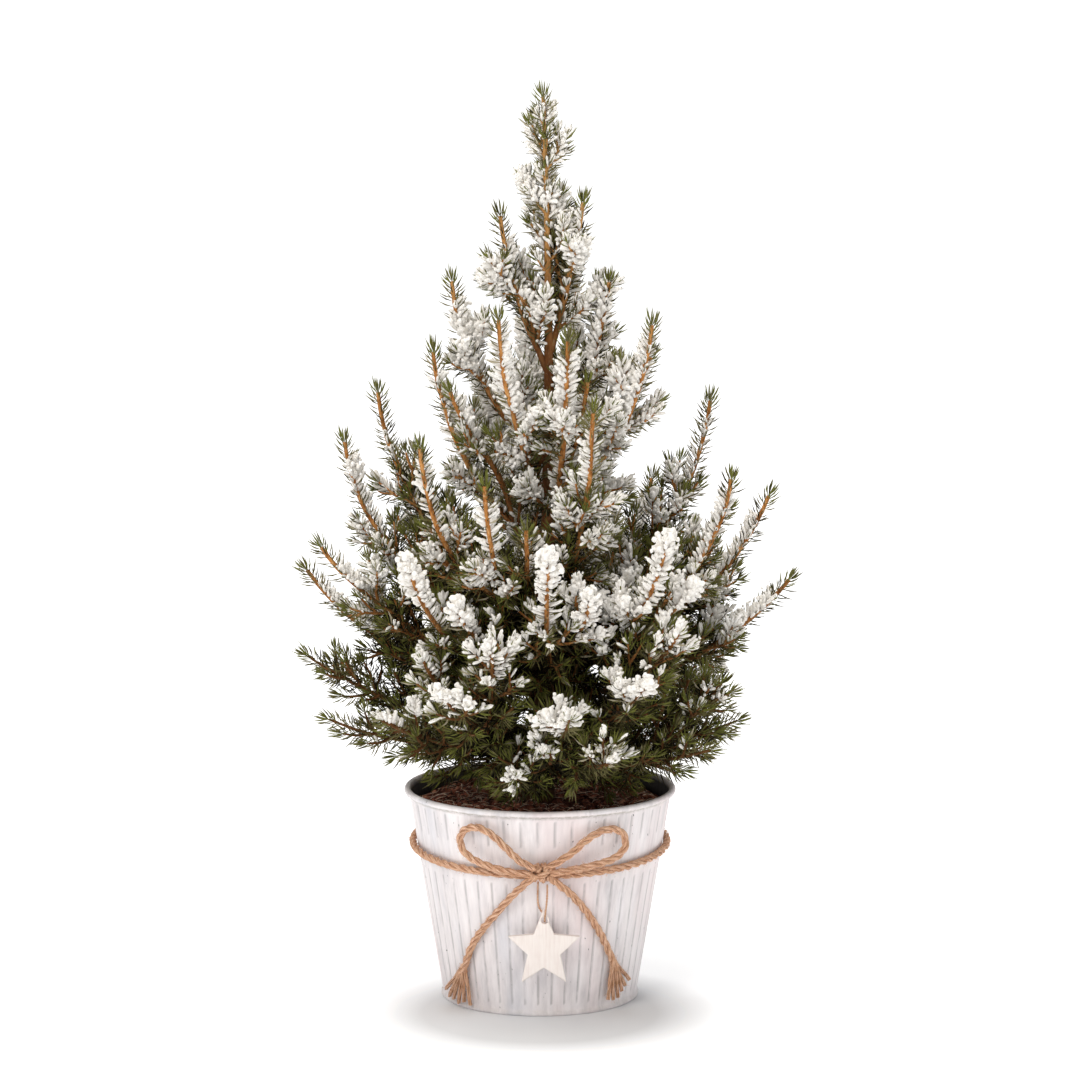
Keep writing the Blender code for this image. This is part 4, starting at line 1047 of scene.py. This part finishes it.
def build_soil():
    """Rough soil, sunk a little at the wall, with crumbs, fibres and white grit on it."""
    columns, across = 160, 44
    rings = [circle(UP * (SHEET + GAP), UP, WALL_FOOT[0] - SHEET - 2 * GAP, columns, compass(0))]
    for ring in range(across):
        depth = 1 - ring / across
        rings.append([])
        for k in range(columns):
            turn = math.tau * k / columns
            radius = (wall_radius(SOIL_TOP) - SHEET - 3 * GAP) * depth
            place = Vector((radius * math.cos(turn), radius * math.sin(turn), 0))
            rough = noise.fractal(place * 130, 1.0, 2.0, 4) * 1.5 * MM + noise.noise(place * 45) * 1.2 * MM
            place.z = SOIL_TOP - SOIL_EDGE_DROP * depth**2 + rough * min(1, 6 * (1 - depth) + 0.15)
            rings[-1].append(place)
    shown(rings_closed("peat_bed", rings, peat()), "peat_soil", "soil")
    dark = litter("dark_fibre", (0.05, 0.016, 0.010), (0.12, 0.040, 0.024))
    red = litter("red_fibre", (0.22, 0.060, 0.030), (0.46, 0.170, 0.090))
    pale = litter("pale_fibre", (0.56, 0.36, 0.24), (0.92, 0.76, 0.62))
    grit = litter("white_grit", (0.66, 0.63, 0.60), (0.94, 0.92, 0.90))
    for name, shape, finish, density, low, high, lift in (
        ("crumbs", crumb_shape, peat_crumb(), 55.0, 1.8 * MM, 6.0 * MM, 0.4 * MM),
        ("dark_fibres", fibre_shape, dark, 45.0, 6 * MM, 14 * MM, 0.7 * MM),
        ("red_fibres", fibre_shape, red, 40.0, 5 * MM, 13 * MM, 0.9 * MM),
        ("pale_fibres", fibre_shape, pale, 34.0, 4 * MM, 12 * MM, 1.4 * MM),
        ("grit", crumb_shape, grit, 16.0, 0.6 * MM, 1.9 * MM, 1.0 * MM),
    ):
        rims = [circle(UP * (SOIL_TOP - 0.8 * MM + up), UP, 0.9 * wall_radius(SOIL_TOP), 48)
                for up in (-0.2 * MM, 0)]
        disc = rings_closed("disc", rims, finish)
        strewn = litter_growth(name, shape, finish, density, low, high, lift)
        shown(strewn.grown(disc, name), "peat_soil", "soil")


def litter(name, dark, light):
    """A mottled finish for one kind of small piece."""
    made = Finish(name, roughness=0.85)
    made.coloured(made.ramp(made.noise(3 * MM, 3), (0.38, dark), (0.62, light)))
    return made.material


def peat_crumb():
    """Dark red-brown crumbs with paler rotten ones."""
    made = Finish("peat_crumb", roughness=0.95, Specular_IOR_Level=0.15)
    made.coloured(made.ramp(made.noise(4 * MM, 3), (0.35, (0.070, 0.023, 0.015)),
                            (0.55, (0.340, 0.115, 0.070)), (0.70, (0.620, 0.310, 0.200))))
    made.bump(made.noise(0.8 * MM, 3), 0.6 * MM)
    return made.material


# ---- trunk ----

def trunk_share(height):
    """0 at the trunk's foot and 1 at its tip."""
    return min(1.0, max(0.0, (height - TRUNK_FOOT) / (TRUNK_TIP - TRUNK_FOOT)))


def trunk_centre(height):
    """The middle of the trunk at a height."""
    t = trunk_share(height)
    return Vector((TRUNK_LEAN * math.sin(math.pi * t) ** 0.8 + TRUNK_TIP_SHIFT * t, 0, height))


def trunk_radius(height):
    """The trunk's radius at a height."""
    taper = (1 - trunk_share(height)) ** TRUNK_TAPER
    flare = ROOT_FLARE * math.exp((TRUNK_FOOT - height) / ROOT_FLARE_HEIGHT)
    return TRUNK_TIP_RADIUS + (TRUNK_FOOT_RADIUS - TRUNK_TIP_RADIUS) * taper + flare


def bark():
    """Young orange bark: pegs where the needles sat, paler ridges, darker cracks; darker near the trunk
    inside the crown and low down, as painted shade.
    """
    made = Finish("young_bark", roughness=0.8, Specular_IOR_Level=0.12)
    pegs = made.noise(1.3 * MM, 3, 0.6, (1, 1, 0.5))
    ridges = made.noise(2.6 * MM, 4, 0.6, (1, 1, 0.25))
    patches = made.noise(14 * MM, 2)
    height = made.parts(made.place())["Z"]
    axis = made.vector("LENGTH", made.stretched((1, 1, 0)))
    # painted shade: darker near the trunk's axis, below the upper crown
    painted_crown_shade = made.math("MULTIPLY", made.remap(axis, 0.008, 0.045, 0.75, 0.0),
                         made.remap(height, 0.33, 0.385, 1.0, 0.0))
    made.coloured(
        made.ramp(ridges, (0.32, (0.15, 0.052, 0.014)), (0.48, (0.43, 0.175, 0.046)),
                  (0.66, (0.62, 0.300, 0.100))),
        (made.remap(pegs, 0.56, 0.68, 0, 0.75), (0.76, 0.52, 0.27)),
        (made.remap(patches, 0.5, 0.7, 0, 0.35), (0.26, 0.095, 0.020)),
        (made.remap(height, 0.33, 0.42, 0, 0.5), (0.46, 0.29, 0.11)),
        # painted shade inside the crown
        (painted_crown_shade, (0.085, 0.030, 0.014)),
        # painted shade: darker low down, under the crown
        (made.remap(height, 0.15, 0.25, 0.85, 0.0), (0.07, 0.030, 0.012)))
    made.bump(made.math("ADD", pegs, ridges), 0.5 * MM)
    return made.material


def build_trunk(wood):
    """The trunk, with its bark in relief."""
    sides, rings = 28, []
    for height in np.linspace(TRUNK_FOOT, TRUNK_TIP, 400):
        centre, radius = trunk_centre(height), trunk_radius(height)
        ring = []
        for p in circle(centre, UP, radius, sides, compass(0)):
            spoke = (p - centre) / radius
            lumps = noise.fractal(Vector((spoke.x * 1.6, spoke.y * 1.6, height * 160)), 1.0, 2.0, 3)
            flutes = noise.noise(Vector((spoke.x * 2.2, spoke.y * 2.2, height * 24)))
            ring.append(p + spoke * radius * (0.07 * lumps + 0.09 * flutes))
        rings.append(ring)
    shown(rings_closed("bark_trunk", rings, wood), "orange_bark", "trunk")


# ---- shoots ----

class Shoot:
    """A line with needles on it."""

    def __init__(self, line, thick, thin, bare, level):
        self.line, self.thick, self.thin, self.bare, self.level = line, thick, thin, bare, level
        self.long = line_length(line)

    def radii(self):
        """The radius at each point of the line."""
        return np.linspace(self.thick, self.thin, len(self.line))


def limb_curve(name):
    """The curve of a limb's stem, from the trunk's bark to the root of its last needles."""
    azimuth, reach, tip, _ = LIMBS[name]
    outward = compass(azimuth)
    root = float(np.interp(tip, TIP_HEIGHTS, ROOT_HEIGHTS)) * MM
    radius = BOUGH_RADIUS if name in ON_BOUGHS else STEM_RADIUS
    start = trunk_centre(root) + outward * (trunk_radius(root) + GAP + 0.9 * radius)
    end = outward * reach * MM + UP * tip * MM
    end -= (end - start).normalized() * LAST_NEEDLES
    chord = end - start
    rise = math.degrees(math.atan2(chord.z, math.hypot(chord.x, chord.y)))
    bend = max(0.0, min(BEND, BEND_SHARE * abs(rise), STEEPEST - rise))
    handle = LIMB_HANDLE * chord.length
    start = trunk_centre(root) + outward * 0.5 * trunk_radius(root)
    return bezier(start, start + compass(azimuth, rise - bend) * handle,
                  end - compass(azimuth, rise + bend) * handle, end)


def wavy(line, seed):
    """The line with the small bends that a shoot has, and both its ends kept."""
    last, bent = len(line) - 1, []
    for k, p in enumerate(line):
        room = min(1.0, 4 * k / last, 4 * (last - k) / last)
        at = p * WAVE_SCALE + Vector((seed, 0, 0))
        shift = Vector([noise.noise(at + Vector((0, far, 0))) for far in WAVE_SHIFTS])
        bent.append(p + shift * WAVE * room)
    return bent


def above_pot(point, room):
    """Whether a ball round a point is clear of the pot's rim and of the soil."""
    inside = math.hypot(point.x, point.y) < WALL_TOP[0] - 2 * MM
    return point.z > (SOIL_TOP + 2 * MM if inside else POT_HEIGHT + MM) + room


def crown_reach(height):
    """Half the crown's width at a height."""
    return float(np.interp(height / MM, CROWN_HEIGHTS, CROWN_REACH)) * MM


def fork_line(start, way, end):
    """A fork's line: it leaves its stem at a slant and bends up to its end."""
    out, long = (end - start).normalized(), (end - start).length
    end = end - out * 0.6 * SOLID_NEEDLE
    home = (out + 0.5 * UP).normalized()
    curve = bezier(start, start + way * long * 0.33, end - home * long * 0.3, end)
    return along_curve(curve, FORK_STEPS)


def grow_fork(name, stem):
    """The second leader of a limb, on the side that the solid has it."""
    azimuth, reach, height, rise = LIMBS[name]
    solid = points_of(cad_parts[name + "_needles"])
    best = None
    for turn in (FORK_TURN, -FORK_TURN):
        end = compass(azimuth + turn) * FORK_REACH * reach * MM + UP * (height + rise) * MM
        far = np.linalg.norm(solid - np.array(end), axis=1).min()
        if best is None or far < best[0]:
            best = (far, end)
    end = best[1]
    foot = BARE_SHARE if name in ON_BOUGHS else 0.0
    start, along = place_on(stem.line, (foot + FORK_AT * (1 - foot)) * stem.long)
    line = fork_line(start, leaning(along, end - start, FORK_ANGLE), end)
    return Shoot(wavy(line, 3), LEADER_RADIUS, LEADER_TIP_RADIUS, 3 * MM, 0)


def side_shoot_line(start, way, length):
    """A side shoot that leaves its stem at a slant and bends up."""
    curve = bezier(start, start + way * length * 0.35,
                   start + way * length * 0.62 + UP * SIDE_SHOOT_LIFT * length * 0.12,
                   start + way * length * 0.9 + UP * SIDE_SHOOT_LIFT * length * 0.5)
    return along_curve(curve, max(4, round(length / SIDE_STEP)))


def has_room(line):
    """Whether a shoot keeps above the pot and inside the crown."""
    return all(above_pot(p, 0.5 * NEEDLE_LENGTH) for p in line[len(line) // 3:]) and (
        math.hypot(line[-1].x, line[-1].y) < crown_reach(line[-1].z) - 2 * MM)


def grow_side_shoots(bearer, rng, first, last, spacing, sized, angle=SIDE_SHOOT_ANGLE, open_front=-2.0):
    """Side shoots by the golden angle, between two shares of the bearer's length.

    sized gives a length for a share. Those that would point forward by more than open_front stay short.
    """
    grown, turn, at = [], rng.uniform(0, math.tau), first * bearer.long
    while at < last * bearer.long:
        share = at / bearer.long
        start, along = place_on(bearer.line, at)
        turn += GOLDEN_ANGLE
        toward = Matrix.Rotation(turn, 3, along) @ leaning(along, UP, 90)
        length = sized(share) * rng.uniform(0.75, 1.15) * (0.4 if toward.y < open_front else 1.0)
        line = side_shoot_line(start, leaning(along, toward, angle + rng.uniform(-7, 7)), length)
        if length > 5 * MM and has_room(line):
            grown.append(Shoot(wavy(line, at * 900), SIDE_SHOOT_RADIUS, SHOOT_TIP_RADIUS, 1.5 * MM,
                               bearer.level + 1))
        at += spacing * rng.uniform(0.75, 1.25)
    return grown


def grow_limb(name):
    """All the shoots of a limb: its stem, its fork, their side shoots and the twigs on those."""
    rng = random.Random(f"{SEED} {name}")
    radii = (BOUGH_RADIUS, LOW_TIP_RADIUS) if name in ON_BOUGHS else (LEADER_RADIUS, LEADER_TIP_RADIUS)
    stem = Shoot(wavy(along_curve(limb_curve(name), LIMB_STEPS), 0), *radii, 0, 0)
    stem.bare = STEM_BARE * stem.long
    leaders = [stem]
    if LIMBS[name][3] is not None:
        leaders.append(grow_fork(name, stem))
    shoots = list(leaders)
    for leader in leaders:
        first = max(0.16, leader.bare / leader.long)

        def sized(share, long=leader.long):
            return min(SIDE_SHOOT_LENGTH * (1.1 - 0.85 * share), 0.45 * long)

        spacing = SIDE_SPACING * (2.5 if name.startswith(("top", "crown")) else 1.0)
        last = LOW_SIDE_SHOOTS_END if name.startswith("low") else SIDE_SHOOTS_END
        sides = grow_side_shoots(leader, rng, first, last, spacing, sized)
        shoots += sides
        for side in sides:
            if side.long > 16 * MM:
                shoots += grow_side_shoots(side, rng, 0.3, 0.75, TWIG_SPACING,
                                           lambda share: TWIG_LENGTH * (1.15 - 0.5 * share))
    return shoots


def grow_leader():
    """The needles on the top of the trunk, and the short shoots round it."""
    rng = random.Random(f"{SEED} leader")
    line = [trunk_centre(height) for height in np.linspace(LEADER_FOOT - LEADER_BURIED, TRUNK_TIP, 90)]
    top = Shoot(line, 0.0, 0.0, LEADER_BURIED, 0)

    def sized(share):
        return (31 - 21 * share) * MM

    shoots = [top]
    sides = grow_side_shoots(top, rng, 0.05, 0.90, LEADER_SPACING, sized, 36, -0.25)
    sides = [side for side in sides if side.line[-1].y > side.line[0].y - 4 * MM]
    shoots += sides
    for side in sides:
        if side.long > 15 * MM:
            shoots += grow_side_shoots(side, rng, 0.35, 0.7, TWIG_SPACING, lambda share: 8 * MM)
    return shoots


# ---- needles and snow ----

def spots_on(line, along, at):
    """Points at some distances along a line, whose own points lie at the distances along."""
    return np.stack([np.interp(at, along, line[:, k]) for k in range(3)], 1)


def unit(ways):
    """Directions made one long."""
    return ways / np.linalg.norm(ways, axis=1)[:, None]


def tips_of(needles):
    """Where the needles end."""
    return needles["at"] + needles["way"] * needles["long"][:, None]


def chosen(needles, keep):
    """Those of the needles that are kept."""
    return {key: values[keep] for key, values in needles.items()}


def outward_from_axis(points):
    """The level directions from the pot's axis to points."""
    outward = points * (1, 1, 0)
    return outward / np.maximum(np.linalg.norm(outward, axis=1), 1e-6)[:, None]


def needle_places(shoots, rng):
    """Where each needle of some shoots stands, and how: arrays by name."""
    found = {key: [] for key in ("at", "way", "along", "long", "tipward", "level", "spray", "to_end")}
    ends = np.array([tuple(shoot.line[-1]) for shoot in shoots if shoot.level == 0])
    for number, shoot in enumerate(shoots):
        line = np.array([tuple(p) for p in shoot.line])
        steps = np.linalg.norm(np.diff(line, axis=0), axis=1)
        along = np.concatenate([[0], np.cumsum(steps)])
        count = int((shoot.long - shoot.bare) / NEEDLE_SPACING[shoot.level])
        if count < 4:
            continue
        at = np.concatenate([np.linspace(shoot.bare, shoot.long, count), np.full(TUFT_NEEDLES, shoot.long)])
        at = np.clip(at + rng.normal(0, 0.1 * MM, len(at)), 0, shoot.long)
        place = spots_on(line, along, at)
        way = unit(spots_on(line, along, np.minimum(at + MM, along[-1]))
                   - spots_on(line, along, np.maximum(at - MM, 0)))
        level = unit(np.cross(way, (0.31, 0.17, 0.93)))
        third = np.cross(way, level)
        turn = np.arange(len(at)) * GOLDEN_ANGLE + rng.normal(0, 0.22, len(at)) + number
        side = level * np.cos(turn)[:, None] + third * np.sin(turn)[:, None]
        near_tip = np.clip(1 - (shoot.long - at) / TUFT_LENGTH, 0, 1)
        lean = NEEDLE_ANGLE + (TUFT_ANGLE - NEEDLE_ANGLE) * near_tip**1.5 + rng.normal(0, 6, len(at))
        lean[-TUFT_NEEDLES:] = rng.uniform(*TUFT_SPREAD, TUFT_NEEDLES)
        lean = np.radians(lean)[:, None]
        found["at"].append(place)
        found["way"].append(way * np.cos(lean) + side * np.sin(lean))
        found["along"].append(way)
        long = NEEDLE_LENGTH * rng.uniform(0.80, 1.12, len(at)) * (1 - 0.10 * (shoot.level > 1))
        found["long"].append(long)
        found["tipward"].append(shoot.long - at)
        found["level"].append(np.full(len(at), float(shoot.level)))
        found["spray"].append(np.full(len(at), rng.uniform() if shoot.thick > 0 else -0.5))
        found["to_end"].append(np.min(np.linalg.norm(place[:, None] - ends[None], axis=2), axis=1))
    return {key: np.concatenate(values) for key, values in found.items()}


def clear_of_pot(needles):
    """The needles whose tips keep off the pot and the soil."""
    tip = tips_of(needles)
    inside = np.hypot(tip[:, 0], tip[:, 1]) < WALL_TOP[0] - 2 * MM
    return chosen(needles, tip[:, 2] > np.where(inside, SOIL_TOP + 2 * MM, POT_HEIGHT + MM))


def fronts_thinned(needles, rng):
    """The needles without most of those on the outer side of the leaders, where the bark is seen."""
    on_trunk = needles["spray"] < 0
    facing = (needles["way"] * outward_from_axis(needles["at"])).sum(1)
    facing = np.where(on_trunk, -needles["way"][:, 1], facing)
    hides = facing > np.where(on_trunk, SEEN_BARK[1], SEEN_BARK[0])
    bare = (needles["level"] == 0) & hides & (needles["tipward"] > SEEN_BARK_TIP)
    return chosen(needles, ~bare | (rng.uniform(size=len(facing)) < SEEN_BARK_SHARE))


class Thicket:
    """How many needles lie in each cell of a grid."""

    def __init__(self, points):
        self.low = points.min(0) - 2 * THICKET_CELL
        self.count = np.ceil((points.max(0) + 2 * THICKET_CELL - self.low) / THICKET_CELL).astype(int)
        cells = self.cells(points)
        self.held = np.zeros(self.count)
        np.add.at(self.held, tuple(cells.T), 1)

    def cells(self, points):
        """The numbers of the cells that points lie in."""
        return np.clip(((points - self.low) / THICKET_CELL).astype(int), 0, self.count - 1)

    def beyond(self, points, ways, reaches):
        """The needles that lie before each point on its way out."""
        total = np.zeros(len(points))
        for reach in reaches:
            total += self.held[tuple(self.cells(points + ways * reach).T)]
        return total


def noise_at(points, size, shift=0.0):
    """Smooth noise from about -1 to 1 at points."""
    scaled = points / size + shift
    return np.array([noise.noise(Vector(p)) for p in scaled]) * 1.8


def deal_out(needles, names, thicket):
    """Adds to the needles their depth, tone and width, and how much snow each carries, from 0 to 1; the tone
    darkens with depth as painted shade.
    """
    tip, up, leader = tips_of(needles), needles["way"][:, 2], needles["level"] == 0
    outward = outward_from_axis(tip)
    reaches = np.arange(1, 7) * THICKET_CELL
    hidden = np.minimum(thicket.beyond(tip, outward * 0.9 + np.array((0, 0, 0.43)), reaches),
                        thicket.beyond(tip, outward, reaches))
    above = thicket.beyond(tip, outward * 0.3 + np.array((0, 0, 0.95)), reaches)
    depth = np.clip((0.7 * hidden + 0.3 * above) / DEEP, 0, 1)
    clumps = noise_at(tip, 24 * MM) + 0.5 * noise_at(tip, 9 * MM, 40)
    rng = np.random.default_rng(SEED)
    tipped = np.clip(1 - needles["tipward"] / np.where(leader, FREE_TIP, FREE_SIDE_TIP), 0, 1)
    tiers = np.array([name.split("_")[0] for name in names])
    amount = np.array([SNOW_ON[tier] - LESS_SNOW.get(name, 0.0) for tier, name in zip(tiers, names)])
    facing = np.clip((needles["way"] * outward).sum(1), 0, 1)
    capped = np.isin(names, CAPPED)
    cap = np.clip(1.3 - needles["to_end"] / CAP, 0, 1) * (up > -0.15)
    at_tip = np.where(capped, -np.where(tiers == "low", *CAP_THICKNESS) * cap,
                      1.4 * tipped * leader + 0.5 * tipped * ~leader)
    snow = (SNOW_LEVEL + 0.42 * clumps + 0.06 * rng.normal(size=len(tip)) + 0.45 * np.clip(up, -1, 0.6)
            - 2.8 * depth - 0.3 * np.clip(above / DEEP, 0, 1) + (amount - 1) - at_tip
            - np.where(leader & ~capped, 0.9, 0.1) * facing**2)
    shade = rng.normal(0, 0.10, len(tip)) + 0.25 * (needles["spray"] - 0.5)
    # painted shade: the deeper a needle lies, the darker its tone, half as much in the open top
    open_top = np.isin(tiers, ("top", "crown", "leader"))
    tone = np.digitize(np.where(open_top, 0.5, 1.0) * depth + shade, DEPTHS)
    frosted = (snow > -FROST) & (snow < 0) & (rng.uniform(size=len(tip)) < 0.4) & (depth < 0.3)
    tone = np.where(frosted, TONE_FROSTED, tone)
    fresh = (needles["tipward"] < FRESH_TIP) & (depth < 0.45) & ~frosted
    tone = np.where(fresh & (rng.uniform(size=len(tip)) < 0.6), TONE_FRESH, tone)
    wide = needles["long"] * np.where(frosted, FROST_WIDTH, 1.0)
    return {**needles, "snow": np.clip(snow, 0, 1), "depth": depth, "wide": wide, "tone": tone.astype(float)}


def needle_growth():
    """A needle on each point: three-sided, thickest at its waist, bent a little towards the shoot's tip."""
    tones = [Finish(label, colour, 0.7, Specular_IOR_Level=0.12).material for label, colour in NEEDLE_TONES]
    grown = Growth("needles", Width=NEEDLE_WIDTH, Bend=0.06)
    half = grown.math("DIVIDE", grown.size("Width"), 2 * NEEDLE_LENGTH)
    foot, point = (grown.first("GeometryNodeMeshCone", {
        "Vertices": 3, "Radius Top": top, "Radius Bottom": bottom, "Depth": tall}, fill_type="NONE")
        for top, bottom, tall in ((half, 0.0, NEEDLE_WAIST), (0.0, half, 1 - NEEDLE_WAIST)))
    lifted = grown.first("GeometryNodeTransform", {"Geometry": point, "Translation": (0, 0, NEEDLE_WAIST)})
    whole = grown.first("GeometryNodeMergeByDistance",
                        {"Geometry": grown.joined(foot, lifted), "Distance": 0.001})
    up = grown.parts(grown.first("GeometryNodeInputPosition"))["Z"]
    middle = grown.math("MULTIPLY", grown.math("MULTIPLY", up, grown.math("SUBTRACT", 1.0, up)), -4.0)
    bent = grown.combined(grown.math("MULTIPLY", middle, grown.size("Bend")))
    needle = grown.moved(whole, Offset=bent)
    way, size = grown.needle_turn(), grown.needle_size("wide")
    of_tone = []
    for number, material in enumerate(tones):
        mine = grown.first("FunctionNodeCompare", {0: grown.named("tone"), 1: float(number), "Epsilon": 0.1},
                           data_type="FLOAT", operation="EQUAL")
        stood = grown.stood(grown.entry.outputs["Geometry"], needle, way, size, Selection=mine)
        of_tone.append(grown.painted(grown.realized(stood), material))
    return grown.ended(grown.joined(*of_tone))


def snow_growth(material):
    """Lumps of snow: a ball on each point, all run together."""
    grown = Growth("snow", Cell=SNOW_CELL, Smooth=SNOW_SMOOTH, Finish=material)
    thick = grown.named("thick")
    points = grown.first("GeometryNodeMeshToPoints",
                         {"Mesh": grown.entry.outputs["Geometry"], "Radius": thick})
    cloud = grown.first("GeometryNodePointsToVolume", {
        "Points": points, "Voxel Size": grown.size("Cell"), "Radius": thick}, resolution_mode="VOXEL_SIZE")
    return grown.finished(grown.first("GeometryNodeVolumeToMesh", {
        "Volume": cloud, "Threshold": 0.1, "Adaptivity": grown.size("Smooth")}))


def snow_spots(needles, rng):
    """Where the balls of snow sit on some needles, and how thick each is."""
    places, thick = [], []
    for share in SNOW_SHARES:
        jitter = rng.normal(0, 0.35 * MM, needles["at"].shape)
        along = needles["long"] * (share + rng.normal(0, 0.06, len(jitter)))
        places.append(needles["at"] + needles["way"] * along[:, None] + jitter + np.array((0, 0, SNOW_LIFT)))
        size = SNOW_THIN + (SNOW_THICK - SNOW_THIN) * np.clip(needles["snow"] - HEAVY_SNOW, 0, 1)
        thick.append(size * rng.uniform(0.75, 1.2, len(jitter)))
    return point_mesh("snow_spots", np.concatenate(places), thick=np.concatenate(thick))


def coat_spots(needles, rng):
    """Where the coats lie on some needles, and how thick and long each is."""
    count = len(needles["at"])
    lift = rng.normal(0, 0.25 * MM, (count, 3)) + np.array((0, 0, COAT_LIFT))
    size = COAT_THIN + (COAT_THICK - COAT_THIN) * np.clip(2 * needles["snow"], 0, 1)
    return point_mesh("coat_spots", needles["at"] + lift, way=needles["way"], along=needles["along"],
                      thick=size * rng.uniform(0.8, 1.2, count),
                      long=needles["long"] * rng.uniform(*COAT_SHARES, count))


def coat_growth(material):
    """A coat of snow on each point's needle: a rounded finger, thicker towards its end."""
    grown = Growth("coats", Finish=material)
    ball = grown.first("GeometryNodeMeshUVSphere", {"Segments": 5, "Rings": 4, "Radius": 1.0})
    at = grown.parts(grown.first("GeometryNodeInputPosition"))
    share = grown.math("MULTIPLY", grown.math("ADD", at["Z"], 1.0), 0.5)
    wider = grown.math("ADD", grown.math("MULTIPLY", share, 0.75), 0.50)
    place = grown.combined(*(grown.math("MULTIPLY", at[axis], wider) for axis in "XY"), share)
    finger = grown.moved(ball, Position=place)
    return grown.finished(grown.stood(grown.entry.outputs["Geometry"], finger, grown.needle_turn(),
                                      grown.needle_size("thick")))


def twig_growth(material):
    """A tapering tube along each line."""
    grown = Growth("twigs", Sides=5, Finish=material)
    line = grown.first("GeometryNodeMeshToCurve", {"Mesh": grown.entry.outputs["Geometry"]})
    profile = grown.ring(grown.size("Sides"), 1.0)
    return grown.finished(grown.tube(line, profile, Scale=grown.named("radius")))


def packed_snow():
    """Grainy packed snow, greyer in the hollows of its grain as painted shade."""
    made = Finish("packed_snow", roughness=0.85, Specular_IOR_Level=0.1)
    grain, lumps = made.noise(1.0 * MM, 3, 0.65), made.noise(2.8 * MM, 3, 0.6)
    packed = made.math("MULTIPLY", made.math("ADD", grain, lumps), 0.5)
    # painted shade: the low parts of the grain are darker and a warmer grey
    made.coloured(made.ramp(packed, (0.36, (0.74, 0.705, 0.635)), (0.46, (0.90, 0.875, 0.83)),
                            (0.58, (0.95, 0.93, 0.90))))
    made.bump(packed, 1.1 * MM, 0.9)
    return made.material


def group_of(name):
    """The piece that a limb's needles go to."""
    tier = name.split("_")[0]
    if tier in ("top", "crown", "leader"):
        return "top"
    return tier + ("_front" if math.sin(math.radians(LIMBS[name][0])) < -0.05 else "_back")


def build_foliage(wood):
    """Twigs, needles and snow, each kind in a few pieces that stand for the solids' masses."""
    limbs = {name: grow_limb(name) for name in LIMBS}
    limbs["leader"] = grow_leader()
    rng = np.random.default_rng(SEED)
    found = {name: clear_of_pot(needle_places(shoots, rng)) for name, shoots in limbs.items()}
    found = {name: fronts_thinned(part, rng) for name, part in found.items()}
    names = np.concatenate([[name] * len(part["at"]) for name, part in found.items()])
    groups = np.array([group_of(name) for name in names])
    needles = {key: np.concatenate([part[key] for part in found.values()]) for key in found["leader"]}
    needles = deal_out(needles, names, Thicket(tips_of(needles)))
    shallow = needles["depth"] < np.where(groups == "top", SEEN_DEPTHS[1], SEEN_DEPTHS[0])
    seen = shallow | (rng.uniform(size=len(names)) < 0.5)
    needle_tree, twig_tree, snow = needle_growth(), twig_growth(wood), packed_snow()
    snow_tree, coat_tree = snow_growth(snow), coat_growth(snow)
    for group in sorted(set(groups)):
        mine = [name for name in limbs if group_of(name) == group]
        nodes = [name + "_needles" for name in mine]
        boughs = [name + "_bough" for name in mine if name in ON_BOUGHS]
        shoots = [shoot for name in mine for shoot in limbs[name] if shoot.thick > 0]
        lines = line_mesh("twig_lines", [shoot.line for shoot in shoots],
                          radius=[shoot.radii() for shoot in shoots])
        shown(twig_tree.grown(lines, group + "_twigs"), "orange_bark", *boughs, *nodes)
        here = groups == group
        green = chosen(needles, here & (needles["snow"] < SNOW_HIDES) & seen)
        snowy = chosen(needles, here & (needles["snow"] > 0))
        heavy = chosen(needles, here & (needles["snow"] > HEAVY_SNOW))
        shape = {key: green[key] for key in ("way", "along", "long", "wide", "tone")}
        for kind, tree, spots in (
            ("_needles_green", needle_tree, point_mesh("needle_spots", green["at"], **shape)),
            ("_coats", coat_tree, coat_spots(snowy, rng)),
            ("_snow", snow_tree, snow_spots(heavy, rng)),
        ):
            shown(tree.grown(spots, group + kind), "snowy_needles", *nodes)


def main():
    """Builds the whole scene."""
    build_view()
    build_stage()
    rope = rope_growth()
    build_band(rope)
    build_bow(rope)
    build_knot(rope)
    build_fringes(rope, random.Random(SEED))
    build_thread(rope, build_star())
    build_pot()
    build_soil()
    wood = bark()
    build_trunk(wood)
    build_foliage(wood)


main()
